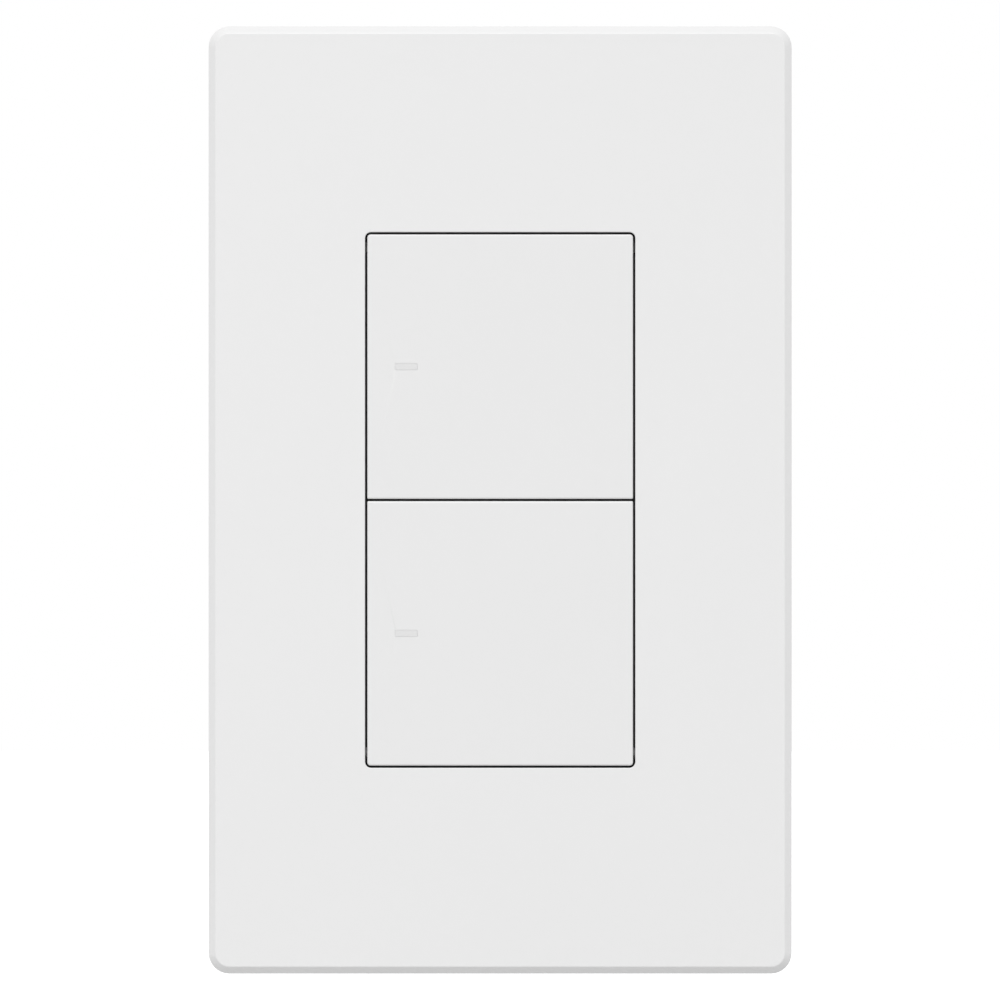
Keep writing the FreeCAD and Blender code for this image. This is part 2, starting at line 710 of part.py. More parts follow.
def plate_bracket():
    """The bracket under the plate: a frame on the strap whose edge the plate's hooks grip."""
    body = new_body("plate_bracket")
    opening = centred(bracket_inner_x, bracket_inner_z)
    grow(body, "Frame", strap_front, bracket_front, centred(bracket_x, bracket_z), opening)
    wall = cell["bracket_flange_wall"]
    flange = (centred(bracket_x, bracket_z), centred(bracket_x - wall, bracket_z - wall))
    grow(body, "Flange", bracket_front, bracket_front - cell["bracket_flange"], *flange)

    def outer_corner(edge):
        return along_y(edge, bracket_x, bracket_z)

    dress(body, "Chamfer", "Corners", cell["bracket_corner"], outer_corner)
    head = cell["box_head"] + cell["head_gap"]
    shank = cell["plate_screw_thread"] + cell["bracket_hole_fit"]
    holes = [around(ZERO, way * box_z, head, head) for way in SIDES]
    holes += [circle(ZERO, way * plate_screw_z, shank) for way in SIDES]
    carve(body, "ScrewHoles", bracket_front, strap_front, *holes)
    return body


def mounting_strap():
    """The steel strap: ears on the wall, slots for the box screws and a window for the works."""
    body = new_body("mounting_strap")
    neck = cell["strap_neck"]
    right_side = (
        (strap_x, -strap_end),
        (strap_x, -ear_z),
        (neck, -ear_z),
        (neck, -shoulder_z),
        (strap_x, -shoulder_z),
        (strap_x, shoulder_z),
        (neck, shoulder_z),
        (neck, ear_z),
        (strap_x, ear_z),
        (strap_x, strap_end),
    )
    left_side = (
        (-strap_x, strap_end),
        (-strap_x, ear_z),
        (-neck, ear_z),
        (-neck, shoulder_z),
        (-strap_x, shoulder_z),
        (-strap_x, -strap_end),
    )
    grow(body, "Sheet", ZERO, strap_front, polygon(*right_side, *left_side))
    dress(body, "Chamfer", "Corners", cell["strap_corner"], along_y)
    carve(body, "Window", strap_front, ZERO, centred(window_rail_x, window_rail_z))
    case_hole = cell["case_screw_radius"] + cell["case_screw_fit"]
    holes = [circle(across * screw_x, up * screw_z, case_hole) for across, up in CORNERS]
    plate_hole = cell["plate_screw_thread"] + cell["plate_screw_fit"]
    holes += [circle(ZERO, way * plate_screw_z, plate_hole) for way in SIDES]
    holes += [slot(way * box_z, cell["box_slot_length"], cell["box_slot_radius"]) for way in SIDES]
    holes.append(circle(ground_x, ground_z, cell["ground_radius"] + cell["ground_fit"]))
    carve(body, "Holes", strap_front, ZERO, *holes)
    score_x = strap_x - cell["score_place"]
    half_score = cell["score_width"] / 2
    middle = (ear_z + strap_end) / 2
    reach = (strap_end - ear_z) / 2
    grooves = [around(across * score_x, up * middle, half_score, reach) for across, up in CORNERS]
    carve(body, "BreakLines", strap_front, strap_front + cell["score_depth"], *grooves)
    return body


# The frame and the buttons
def switch_frame():
    """The moulded frame: a deck on the strap, with a collar that carries both buttons."""
    body = new_body("switch_frame")
    grow(body, "Deck", deck_rear, deck_front, centred(deck_x, deck_z))
    half = cell["boss_half"]
    bosses = [around(across * screw_x, up * screw_z, half, half) for across, up in CORNERS]
    grow(body, "Bosses", deck_front, boss_front, *bosses)
    grow(body, "Collar", deck_front, collar_front, centred(collar_x, collar_z))
    carve(body, "ButtonWell", collar_front, deck_front, centred(collar_inner_x, collar_inner_z))
    dress(body, "Chamfer", "DeckCorners", cell["deck_corner"], lambda edge: along_y(edge, deck_x, deck_z))
    outer = (window_rail_x - cell["locator_fit"], window_rail_z - cell["locator_fit"])
    inner = tuple(side - cell["locator_wall"] for side in outer)
    rib_rear = -cell["locator_gap"]
    grow(body, "Locator", rib_rear, deck_rear, centred(*outer), centred(*inner))
    prop_x = deck_x - cell["prop_side"]
    prop_z = inner_z - cell["prop_end"]
    half = cell["prop_half"]
    props = [around(across * prop_x, up * prop_z, half, half) for across, up in CORNERS]
    grow(body, "BoardProps", board_front, deck_rear, *props)
    plunger_hole = cell["plunger_half"] + cell["plunger_hole_gap"]
    guide_x = cell["guide_width"] / 2 + cell["guide_fit"]
    guide_z = cell["guide_height"] / 2 + cell["guide_fit"]
    holes = []
    for up in SIDES:
        holes.append(around(ZERO, up * cell["tact_place"], plunger_hole, plunger_hole))
        holes.append(around(lens_x, up * cap_centre, guide_x, guide_z))
        for across in SIDES:
            half_slot = cell["catch_width"] / 2 + cell["slot_gap"]
            middle = across * catch_x
            low = up * (catch_low - cell["slot_gap"])
            high = up * (catch_high + cell["slot_gap"])
            holes.append(rectangle(middle - half_slot, low, middle + half_slot, high))
    carve(body, "DeckHoles", deck_front, deck_rear, *holes)
    pilot = cell["case_screw_radius"] + cell["case_screw_fit"]
    pilots = [circle(across * screw_x, up * screw_z, pilot) for across, up in CORNERS]
    carve(body, "PilotHoles", boss_front + cell["boss_roof"], deck_rear, *pilots)
    pin_hole = cell["pin_radius"] + cell["pin_fit"]
    sockets = [circle(hinge_y, up * hinge_z, pin_hole) for up in SIDES]
    carve_across(body, "HingeHoles", -collar_x, collar_x, *sockets)
    lead_x = collar_inner_x + cell["snap_in_depth"]
    leads = []
    for up in SIDES:
        low = up * hinge_z - pin_hole
        high = up * hinge_z + pin_hole
        leads.append(rectangle(collar_inner_x, low, lead_x, high))
        leads.append(rectangle(-lead_x, low, -collar_inner_x, high))
    carve(body, "HingeLeadIns", collar_front, hinge_y, *leads)
    return body


def button(label, up):
    """One button: a shallow box hinged at its outer end, with a lens slot, a post and two hooks."""
    body = new_body(label)
    low, high = in_order(up * cap_mid, up * cap_end)
    grow(body, "Block", cap_rear, face_front, rectangle(-cap_x, low, cap_x, high))
    dress(body, "Chamfer", "Corners", cell["cap_corner"], along_y)
    dress(body, "Chamfer", "FrontEdge", cell["cap_edge"], lambda edge: at_depth(edge, face_front))
    skirt = cell["cap_skirt"]
    inside = rectangle(skirt - cap_x, low + skirt, cap_x - skirt, high - skirt)
    carve(body, "Hollow", cap_ceiling, cap_rear, inside)
    rib_rear = cap_ceiling + cell["cap_rib_height"]
    rib_half = cell["rib_wall"] / 2
    ribs = [
        rectangle(middle - rib_half, low + skirt / 2, middle + rib_half, high - skirt / 2)
        for middle in (cell["cap_rib_place"], -cell["cap_rib_place"])
    ]
    grow(body, "Ribs", rib_rear, cap_ceiling, *ribs)
    post_tip = plunger_front - cell["post_play"]
    half = cell["post_half"]
    grow(body, "Post", post_tip, cap_ceiling, around(ZERO, up * cell["tact_place"], half, half))
    pin = circle(hinge_y, up * hinge_z, cell["pin_radius"])
    pin_pad = grow_across(body, "HingePin", cap_x - skirt / 2, cap_x + cell["pin_reach"], pin)
    reflect(body, "HingePins", [pin_pad], "YZ_Plane")
    barb = catch_high + cell["catch_barb"]
    slope = catch_face + cell["catch_land"]
    hook = polygon(
        (cap_ceiling, up * catch_low),
        (catch_tip, up * catch_low),
        (catch_tip, up * catch_high),
        (slope, up * barb),
        (catch_face, up * barb),
        (catch_face, up * catch_high),
        (cap_ceiling, up * catch_high),
    )
    half_hook = cell["catch_width"] / 2
    hook_pad = grow_across(body, "Hook", catch_x - half_hook, catch_x + half_hook, hook)
    reflect(body, "Hooks", [hook_pad], "YZ_Plane")
    half_x = cell["lens_width"] / 2 + cell["lens_fit"]
    half_z = cell["lens_height"] / 2 + cell["lens_fit"]
    opening = around(lens_x, up * cap_centre, half_x, half_z)
    carve(body, "LensSlot", face_front, cap_ceiling, opening)
    return body


def indicator_lens(label, up):
    """The translucent bar in a button, with the flange that it is bonded by."""
    body = new_body(label)
    half_x = cell["lens_width"] / 2
    half_z = cell["lens_height"] / 2
    bar = around(lens_x, up * cap_centre, half_x, half_z)
    grow(body, "Bar", cap_ceiling, face_front, bar)
    edge = cell["lens_flange"]
    foot = around(lens_x, up * cap_centre, half_x + edge, half_z + edge)
    grow(body, "Flange", cap_ceiling + cell["lens_foot"], cap_ceiling, foot)
    return body


def light_guide(label, up):
    """The clear bar that carries light from the board to the lens, held by its flange behind the deck."""
    body = new_body(label)
    front = cap_ceiling + cell["lens_foot"] + cell["guide_lens_gap"]
    rear = board_front - cell["led_thickness"] - cell["guide_gap"]
    half_x, half_z = cell["guide_width"] / 2, cell["guide_height"] / 2
    grow(body, "Bar", rear, front, around(lens_x, up * cap_centre, half_x, half_z))
    edge = cell["guide_flange"]
    flange = around(lens_x, up * cap_centre, half_x + edge, half_z + edge)
    grow(body, "Flange", deck_rear + cell["guide_flange_thickness"], deck_rear, flange)
    return body


# Electronics behind the frame
def tact_switch(label, up):
    """A push switch on the control board, open at the front for its plunger."""
    body = new_body(label)
    middle = up * cell["tact_place"]
    half = cell["tact_width"] / 2
    grow(body, "Case", board_front, tact_front, around(ZERO, middle, half, half))
    dress(body, "Chamfer", "Corners", cell["tact_corner"], along_y)
    leg_front = board_front - cell["tact_leg_thickness"]
    leg_half = cell["tact_leg_width"] / 2
    legs = []
    for across, way in CORNERS:
        left, right = in_order(across * half, across * (half + cell["tact_leg"]))
        row = middle + way * cell["tact_leg_place"]
        legs.append(rectangle(left, row - leg_half, right, row + leg_half))
    grow(body, "Legs", board_front, leg_front, *legs)
    bore = cell["plunger_half"] + cell["plunger_fit"]
    bore_rear = tact_front + cell["tact_bore_depth"]
    carve(body, "Opening", tact_front, bore_rear, around(ZERO, middle, bore, bore))
    return body


def plunger(label, up):
    """The square plunger of a push switch."""
    half = cell["plunger_half"]
    middle = up * cell["tact_place"]
    shape = block(label, -half, half, plunger_front, plunger_rear, middle - half, middle + half)
    shape.Label = label
    return shape


def board(label, front, rear):
    """A circuit board across the housing, notched around the screw columns."""
    body = new_body(label)
    gap = cell["board_gap"]
    edge_x = inner_x - gap
    edge_z = inner_z - gap
    notch_x = screw_x - column_half - gap
    notch_z = screw_z - column_half - gap
    quarter = ((edge_x, notch_z), (notch_x, notch_z), (notch_x, edge_z))
    outline = list(quarter)
    outline += [(-x, z) for x, z in reversed(quarter)]
    outline += [(-x, -z) for x, z in quarter]
    outline += [(x, -z) for x, z in reversed(quarter)]
    grow(body, "Sheet", rear, front, polygon(*outline))
    return body


def board_spacers():
    """The four pillars between the two boards."""
    x = inner_x - cell["spacer_side"]
    z = inner_z - cell["spacer_end"]
    pattern = new_body("board_spacer")
    pillar = hexagon(ZERO, ZERO, cell["spacer_radius"])
    grow(pattern, "Pillar", power_front, board_rear, pillar)
    places = [(across * x, up * z, AS_DRAWN) for across, up in CORNERS]
    return copies("board_spacers", pattern, places)


def radio_module():
    """The radio module: a small board with a shielding can."""
    left, right = (cell["radio_side"] + way * (cell["radio_width"] / 2) for way in (-1, 1))
    high = inner_z - cell["radio_end"]
    low = high - cell["radio_height"]
    front = board_front - cell["radio_thickness"]
    step = board_front - cell["radio_carrier"]
    carrier = block("radio_board", left, right, step, board_front, low, high)
    inset = cell["shield_inset"]
    can_high = high - cell["antenna_length"]
    can = block("radio_can", left + inset, right - inset, front, step, low + inset, can_high)
    return joined("radio_module", [carrier, can])


def led(label, up):
    """The light source under a light guide."""
    left, right = (lens_x + way * (cell["led_width"] / 2) for way in (-1, 1))
    low, high = (up * cap_centre + way * (cell["led_height"] / 2) for way in (-1, 1))
    shape = block(label, left, right, board_front - cell["led_thickness"], board_front, low, high)
    shape.Label = label
    return shape


def board_header():
    """The connector that joins the two boards."""
    half_x, half_z = cell["header_width"] / 2, cell["header_height"] / 2
    middle = -cell["header_place"]
    low, high = middle - half_z, middle + half_z
    shape = block("board_header", -half_x, half_x, board_rear, power_front, low, high)
    shape.Label = "board_header"
    return shape


def relay(label, up):
    """A sealed relay on the power board."""
    half_x = cell["relay_width"] / 2
    near = cell["bay_place"] + cell["bay_half"] + cell["bay_wall"] + cell["relay_gap"]
    low, high = in_order(up * near, up * (near + cell["relay_height"]))
    body = new_body(label)
    grow(body, "Case", tall_rear, power_rear, rectangle(-half_x, low, half_x, high))
    dress(body, "Chamfer", "Edges", cell["case_bevel"], lambda edge: at_depth(edge, tall_rear))
    return body


def transformer():
    """The supply's transformer: a ferrite core around a winding."""
    middle_x, middle_z = -cell["core_side"], cell["core_place"]

    def limits(width, height, inset):
        half_x, half_z = width / 2, height / 2
        across = (middle_x - half_x, middle_x + half_x)
        return (*across, power_rear + inset, tall_rear - inset, middle_z - half_z, middle_z + half_z)

    core = block("core", *limits(cell["core_width"], cell["core_height"], ZERO))
    coil = block("coil", *limits(cell["coil_width"], cell["coil_height"], cell["coil_inset"]))
    return joined("transformer", [core, coil])


def filter_capacitor():
    """The film capacitor across the mains."""
    body = new_body("filter_capacitor")
    half_x, half_z = cell["film_width"] / 2, cell["film_height"] / 2
    outline = around(-cell["film_side"], -cell["film_place"], half_x, half_z)
    grow(body, "Case", tall_rear, power_rear, outline)
    dress(body, "Chamfer", "Edges", cell["case_bevel"], lambda edge: at_depth(edge, tall_rear))
    return body


def storage_capacitor():
    """The electrolytic capacitor: an upright can."""
    shape = rod(
        "storage_capacitor",
        cell["can_side"],
        cell["can_place"],
        power_rear,
        tall_rear,
        cell["can_radius"],
    )
    shape.Label = "storage_capacitor"
    return shape


def surge_absorber():
    """The surge absorber: a disc on two legs."""
    radius = cell["disc_radius"]
    middle_y = power_rear + cell["disc_lead"] + radius
    disc = doc.addObject("Part::Cylinder", "disc")
    bind(disc, "Radius", radius)
    bind(disc, "Height", cell["disc_thickness"])
    place(disc, cell["disc_side"], middle_y, -cell["disc_place"] - cell["disc_thickness"] / 2)
    half = cell["disc_leg_half"]
    row = -cell["disc_place"]
    legs = []
    for number, way in enumerate(SIDES):
        middle = cell["disc_side"] + way * cell["disc_leg_place"]
        limits = (middle - half, middle + half, power_rear, middle_y, row - half, row + half)
        legs.append(block(f"disc_leg_{number}", *limits))
    return joined("surge_absorber", [disc, *legs])


# The housing and its terminals
def rear_housing():
    """The moulded housing: a deep box with screw columns and four terminal bays open to its sides."""
    body = new_body("rear_housing")
    grow(body, "Block", housing_rear, ZERO, centred(housing_x, housing_z))
    dress(body, "Fillet", "Corners", cell["housing_corner"], lambda edge: along_y(edge, housing_x, housing_z))
    dress(body, "Chamfer", "BackBevel", cell["housing_bevel"], lambda edge: at_depth(edge, housing_rear))
    carve(body, "Hollow", ZERO, inner_rear, centred(inner_x, inner_z))
    half = column_half
    columns = [around(across * screw_x, up * screw_z, half, half) for across, up in CORNERS]
    grow(body, "Columns", housing_rear - cell["housing_back"] / 2, ZERO, *columns)
    wall = cell["bay_wall"]
    bay_low = cell["bay_place"] - cell["bay_half"]
    bay_high = cell["bay_place"] + cell["bay_half"]
    solid_x = inner_x + cell["housing_wall"] / 2
    bay = rectangle(bay_inner_x, bay_low - wall, solid_x, bay_high + wall)
    low_bay = rectangle(bay_inner_x, -bay_high - wall, solid_x, -bay_low + wall)
    bays = grow(body, "Bays", inner_rear + cell["housing_back"] / 2, power_rear, bay, low_bay)
    reflect(body, "BaysAcross", [bays], "YZ_Plane")
    recess = rectangle(bay_front, bay_low, inner_rear, bay_high)
    low_recess = rectangle(bay_front, -bay_high, inner_rear, -bay_low)
    recesses = carve_across(body, "Recesses", bay_floor_x, housing_x, recess, low_recess)
    reflect(body, "RecessesAcross", [recesses], "YZ_Plane")
    ports = []
    tails = []
    port_rows = [cell["bay_place"] + way * cell["wire_offset"] for way in SIDES]
    tail_high = cell["tail_half"] + cell["tail_fit"]
    for across, up in CORNERS:
        ports += [circle(across * wire_x, up * height, cell["wire_port"]) for height in port_rows]
        left, right = in_order(across * bay_floor_x, across * (contact_x + cell["tail_fit"]))
        middle = up * cell["bay_place"]
        tails.append(rectangle(left, middle - tail_high, right, middle + tail_high))
    carve(body, "WirePorts", inner_rear, housing_rear, *ports)
    carve(body, "TailSlots", power_rear, bay_front, *tails)
    half = cell["well_half"]
    wells = [around(across * screw_x, up * screw_z, half, half) for across, up in CORNERS]
    carve(body, "Wells", cell["well_floor"], housing_rear, *wells)
    shank = cell["case_screw_radius"] + cell["case_screw_fit"]
    shanks = [circle(across * screw_x, up * screw_z, shank) for across, up in CORNERS]
    carve(body, "ScrewHoles", ZERO, cell["well_floor"], *shanks)
    return body


def terminal(label, across, up):
    """A terminal's brass plate on the floor of its bay, with a tail to the power board."""
    body = new_body(label)
    middle = up * cell["bay_place"]
    left, right = in_order(across * bay_floor_x, across * contact_x)
    step = bay_front + cell["contact_gap"]
    half, tail_half = cell["contact_half"], cell["tail_half"]
    plate = rectangle(left, middle - half, right, middle + half)
    grow(body, "Plate", inner_rear - cell["contact_gap"], step, plate)
    tail = rectangle(left, middle - tail_half, right, middle + tail_half)
    grow(body, "Tail", step, power_rear, tail)
    hole = circle(terminal_y, middle, cell["terminal_thread"] + cell["terminal_fit"])
    carve_across(body, "ScrewHole", left, right, hole)
    return body


def clamp_plate():
    """A plate that a terminal screw presses on its wires, drawn on the right side at mid height."""
    body = new_body("wire_clamp")
    half = cell["clamp_half"]
    outline = rectangle(terminal_y - half, -half, terminal_y + half, half)
    hole = circle(terminal_y, ZERO, cell["terminal_thread"] + cell["terminal_fit"])
    grow_across(body, "Plate", clamp_x, clamp_outer_x, outline, hole)
    return body


def screw_beside(label, seat_x):
    """A terminal screw that points to the middle, drawn on the right side at mid height."""
    body = new_body(label)
    shank = circle(terminal_y, ZERO, cell["terminal_thread"])
    grow_across(body, "Shank", bay_floor_x + cell["terminal_tip"], seat_x, shank)
    head = circle(terminal_y, ZERO, cell["terminal_head"])
    grow_across(body, "Head", seat_x, seat_x + cell["terminal_head_height"], head)
    return body


def in_each_bay(label, pattern):
    """Copies of a piece drawn for the right side at mid height, one for each terminal bay."""
    places = []
    for across, up in CORNERS:
        turn = AS_DRAWN if across > 0 else OTHER_SIDE
        places.append((ZERO, up * cell["bay_place"], turn))
    return copies(label, pattern, places)


# Screws
def screw(label, seat, head, head_height, thread, tip):
    """A screw along Y: its head sits in front of its seat, or behind it if its tip is in front."""
    body = new_body(label)
    way = 1 if tip.value > seat.value else -1
    front, rear = in_order(seat, tip)
    grow(body, "Shank", rear, front, circle(ZERO, ZERO, thread))
    front, rear = in_order(seat, seat - way * head_height)
    grow(body, "Head", rear, front, circle(ZERO, ZERO, head))
    return body


def box_screws():
    """The two screws that fix the strap to a wall box."""
    neck_end = cell["washer_thickness"]
    pattern = screw(
        "box_screw",
        strap_front,
        cell["box_head"],
        cell["box_head_height"],
        cell["box_neck"],
        neck_end,
    )
    thread = circle(ZERO, ZERO, cell["box_thread"])
    grow(pattern, "Thread", neck_end + cell["box_screw_length"], neck_end, thread)
    return copies("box_screws", pattern, [(ZERO, up * box_z, AS_DRAWN) for up in SIDES])


def screw_retainers():
    """The fibre washers that keep the box screws in the strap."""
    body = new_body("screw_retainer")
    rim = centred(cell["washer_half"], cell["washer_half"])
    hole = hexagon(ZERO, ZERO, cell["washer_hole"])
    grow(body, "Washer", cell["washer_thickness"], ZERO, rim, hole)
    return copies("screw_retainers", body, [(ZERO, up * box_z, AS_DRAWN) for up in SIDES])


def bracket_screws():
    """The two screws that hold the bracket to the strap."""
    pattern = screw(
        "bracket_screw",
        bracket_front,
        cell["plate_screw_head"],
        cell["plate_screw_head_height"],
        cell["plate_screw_thread"],
        cell["plate_screw_tail"],
    )
    return copies("bracket_screws", pattern, [(ZERO, up * plate_screw_z, AS_DRAWN) for up in SIDES])


def housing_screws():
    """The four screws that pull the housing and the strap to the frame."""
    pattern = screw(
        "housing_screw",
        cell["well_floor"],
        cell["case_screw_head"],
        cell["case_screw_head_height"],
        cell["case_screw_radius"],
        deck_rear - cell["case_screw_grip"],
    )
    places = [(across * screw_x, up * screw_z, AS_DRAWN) for across, up in CORNERS]
    return copies("housing_screws", pattern, places)


def ground_screw():
    """The ground screw in the strap's lower left shoulder, its head behind the strap."""
    shape = screw(
        "ground_screw",
        ZERO,
        cell["ground_head"],
        cell["ground_head_height"],
        cell["ground_radius"],
        strap_front,
    )
    place(shape, ground_x, ZERO, ground_z)
    return shape


def terminal_hardware():
    """The clamp plates and screws of the four terminals."""
    bay_screw = screw_beside("terminal_screw", clamp_outer_x)
    return [in_each_bay("wire_clamps", clamp_plate()), in_each_bay("terminal_screws", bay_screw)]


# Every piece, front to back
parts = [
    faceplate(),
    plate_bracket(),
    bracket_screws(),
    button("button_upper", 1),
    button("button_lower", -1),
    indicator_lens("indicator_lens_upper", 1),
    indicator_lens("indicator_lens_lower", -1),
    switch_frame(),
    light_guide("light_guide_upper", 1),
    light_guide("light_guide_lower", -1),
    mounting_strap(),
    box_screws(),
    screw_retainers(),
    ground_screw(),
    plunger("plunger_upper", 1),
    plunger("plunger_lower", -1),
    tact_switch("tact_switch_upper", 1),
    tact_switch("tact_switch_lower", -1),
    led("led_upper", 1),
    led("led_lower", -1),
    radio_module(),
    board("control_board", board_front, board_rear),
    board_spacers(),
    board_header(),
    board("power_board", power_front, power_rear),
    relay("relay_upper", 1),
    relay("relay_lower", -1),
    transformer(),
    filter_capacitor(),
    storage_capacitor(),
    surge_absorber(),
    rear_housing(),
    housing_screws(),
    terminal("terminal_line", -1, 1),
    terminal("terminal_neutral", -1, -1),
    terminal("terminal_load_upper", 1, 1),
    terminal("terminal_load_lower", 1, -1),
    *terminal_hardware(),
]
doc.recompute()

for item in doc.Objects:
    if "Invalid" in item.State or "Error" in item.State:
        raise RuntimeError(f"{item.Label} failed: {item.State}")
    if item.TypeId.startswith("PartDesign::") and getattr(item, "BaseFeature", None):
        before, after = item.BaseFeature.Shape.Volume, item.Shape.Volume
        if abs(after - before) < NEAR:
            owner = item.getParentGeoFeatureGroup().Label
            raise RuntimeError(f"{item.Name} of {owner} changes nothing")
        if item.TypeId == "PartDesign::Pocket" and after > before:
            raise RuntimeError(f"{item.Name} adds material")
for part in parts:
    if part.Shape.isNull() or not part.Shape.isValid():
        raise RuntimeError(f"{part.Label} has no valid shape")

os.makedirs("parts", exist_ok=True)
for part in parts:
    part.Shape.exportStep(f"parts/{part.Label}.step")
print(f"{len(parts)} sub-parts, {sum(len(part.Shape.Solids) for part in parts)} solids")
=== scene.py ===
import math
from typing import NamedTuple

import bmesh
import bpy
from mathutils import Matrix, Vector


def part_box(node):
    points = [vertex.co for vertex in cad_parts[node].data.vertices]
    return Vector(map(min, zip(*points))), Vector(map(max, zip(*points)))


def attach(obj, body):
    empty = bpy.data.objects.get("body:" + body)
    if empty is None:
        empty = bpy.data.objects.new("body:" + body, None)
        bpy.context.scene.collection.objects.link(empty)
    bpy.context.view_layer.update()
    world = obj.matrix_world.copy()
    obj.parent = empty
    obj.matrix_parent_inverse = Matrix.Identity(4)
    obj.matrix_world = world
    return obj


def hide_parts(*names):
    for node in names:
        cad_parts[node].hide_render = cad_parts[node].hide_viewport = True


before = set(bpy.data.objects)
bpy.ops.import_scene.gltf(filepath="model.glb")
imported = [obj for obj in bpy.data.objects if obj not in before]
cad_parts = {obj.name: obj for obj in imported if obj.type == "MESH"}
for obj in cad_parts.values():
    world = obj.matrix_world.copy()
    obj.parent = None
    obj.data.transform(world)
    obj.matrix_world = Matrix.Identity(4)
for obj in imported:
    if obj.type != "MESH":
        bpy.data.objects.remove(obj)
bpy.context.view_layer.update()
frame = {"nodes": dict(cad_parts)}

bl_info = {
    "name": "Wall switch looks",
    "version": (1, 0, 0),
    "blender": (4, 5, 0),
    "location": "3D View > Sidebar > Wall Switch",
    "description": "Builds the plate, buttons, screws, housing and stage of a smart wall switch",
    "category": "Object",
}

MM = 0.001
PLATE_LOW, PLATE_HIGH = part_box("faceplate")
HOUSING_LOW, HOUSING_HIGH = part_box("rear_housing")
SIDES = (1, -1)
CORNERS = tuple((across, up) for across in SIDES for up in SIDES)
SQUARE = ((-1, -1), (1, -1), (1, 1), (-1, 1))


# Sizes and colours that a user may change
def length_of(name, default, description):
    """A length in metres."""
    return bpy.props.FloatProperty(
        name=name, default=default, description=description, min=0.0, precision=5, unit="LENGTH"
    )


def number_of(name, default, description, least=0.0):
    """A plain number."""
    return bpy.props.FloatProperty(name=name, default=default, description=description, min=least)


def colour_of(name, default, description):
    """A linear colour."""
    return bpy.props.FloatVectorProperty(
        name=name, default=default, description=description, size=3, min=0.0, max=1.0,
        subtype="COLOR",
    )


class SwitchPlateSizes(bpy.types.PropertyGroup):
    """Sizes of the wall plate."""

    corner: length_of("Corner", 2.6 * MM, "Corner radius of the plate")
    bevel: length_of("Bevel", 0.9 * MM, "Bevel around the plate's face")
    soften: length_of("Soft edge", 0.28 * MM, "Rounding on both sides of the bevel")
    face: length_of("Face", 1.8 * MM, "Thickness of the plate's face")
    rim: length_of("Rim", 1.6 * MM, "Thickness of the plate's side walls")
    window_x: length_of("Half opening, across", 17.05 * MM, "Half width of the opening")
    window_z: length_of("Half opening, upright", 33.8 * MM, "Half height of the opening")
    window_corner: length_of("Opening corner", 0.75 * MM, "Corner radius of the opening")
    window_edge: length_of("Opening edge", 0.14 * MM, "Rounding of the opening's edge")


class SwitchButtonSizes(bpy.types.PropertyGroup):
    """Sizes of the two buttons and their indicator bars."""

    half_x: length_of("Half width", 16.77 * MM, "Half width of a button")
    near_z: length_of("Inner end", 0.14 * MM, "Free end, from the middle")
    far_z: length_of("Outer end", 33.52 * MM, "Hinged end, from the middle")
    depth: length_of("Depth", 4.4 * MM, "Front to back")
    corner: length_of("Outer corner", 0.42 * MM, "Corner radius at a button's hinged end")
    near_corner: length_of("Inner corner", 0.16 * MM, "Corner radius at a button's free end")
    edge: length_of("Front edge", 0.25 * MM, "Rounding of a button's front edge")
    wall: length_of("Front wall", 1.5 * MM, "Thickness of a button's front")
    skirt: length_of("Side wall", 1.2 * MM, "Thickness of a button's sides")
    lens_x: length_of("Indicator's half width", 1.425 * MM, "Half width of an indicator bar")
    lens_z: length_of("Indicator's half height", 0.425 * MM, "Half height of an indicator bar")
    lens_fit: length_of("Indicator's fit", 0.01 * MM, "Gap around an indicator bar")


class SwitchFastenerSizes(bpy.types.PropertyGroup):
    """Sizes that all the screws share."""

    thread_depth: length_of("Thread depth", 0.3 * MM, "Depth of the threads")
    slot: length_of("Slot", 0.9 * MM, "Width of the slots in the heads")


class SwitchColours(bpy.types.PropertyGroup):
    """Colours of the moulded pieces."""

    plate: colour_of("Plate", (0.82, 0.82, 0.82), "Wall plate")
    button: colour_of("Buttons", (0.81, 0.81, 0.81), "Buttons")
    lens: colour_of("Indicators", (0.765, 0.765, 0.765), "Indicator bars")
    # The frame's dark grey is partly its own colour and partly painted shade: it was darkened so
    # the gaps round the buttons look shaded.
    frame: colour_of("Frame", (0.13, 0.13, 0.135), "Frame behind the buttons")
    housing: colour_of("Housing", (0.045, 0.046, 0.05), "Rear housing")


class SwitchStageSizes(bpy.types.PropertyGroup):
    """The camera and the light."""

    view_half: length_of("Half view", 63.13 * MM, "Half of what the camera sees at the plate")
    aside: length_of("Camera aside", 0.02 * MM, "How far the camera stands left of the middle")
    lens: number_of("Lens", 400.0, "Focal length of the camera in millimetres", 20.0)
    floor_drop: length_of("Floor", 40.0 * MM, "Floor below the plate")
    world: number_of("Surroundings", 0.645, "Light from all sides")
    key: number_of("Main light", 165.0, "Power of the large light above, in watts")
    side: number_of("Side light", 0.5, "Power of the light at the right, in watts")
    fill: number_of("Fill light", 0.196, "Power of the light at the left, in watts")


# Shader nodes and shared groups
def fill(tree, node, values):
    """Give inputs of a node their values, or links from sockets."""
    for name, value in values.items():
        if isinstance(value, bpy.types.NodeSocket):
            tree.links.new(value, node.inputs[name])
        else:
            node.inputs[name].default_value = value


def add_node(tree, kind, values, **options):
    """A node with its options set first, and then its inputs."""
    node = tree.nodes.new(kind)
    for option, value in options.items():
        setattr(node, option, value)
    fill(tree, node, values)
    return node


def noise(tree, vector, scale, detail, roughness=0.5):
    """A noise texture over a vector."""
    values = {"Vector": vector, "Scale": scale, "Detail": detail, "Roughness": roughness}
    return add_node(tree, "ShaderNodeTexNoise", values).outputs["Fac"]


def map_range(tree, value, given, wanted):
    """A value carried over from one range to another."""
    ends = {"From Min": given[0], "From Max": given[1], "To Min": wanted[0], "To Max": wanted[1]}
    return add_node(tree, "ShaderNodeMapRange", {"Value": value, **ends}).outputs["Result"]


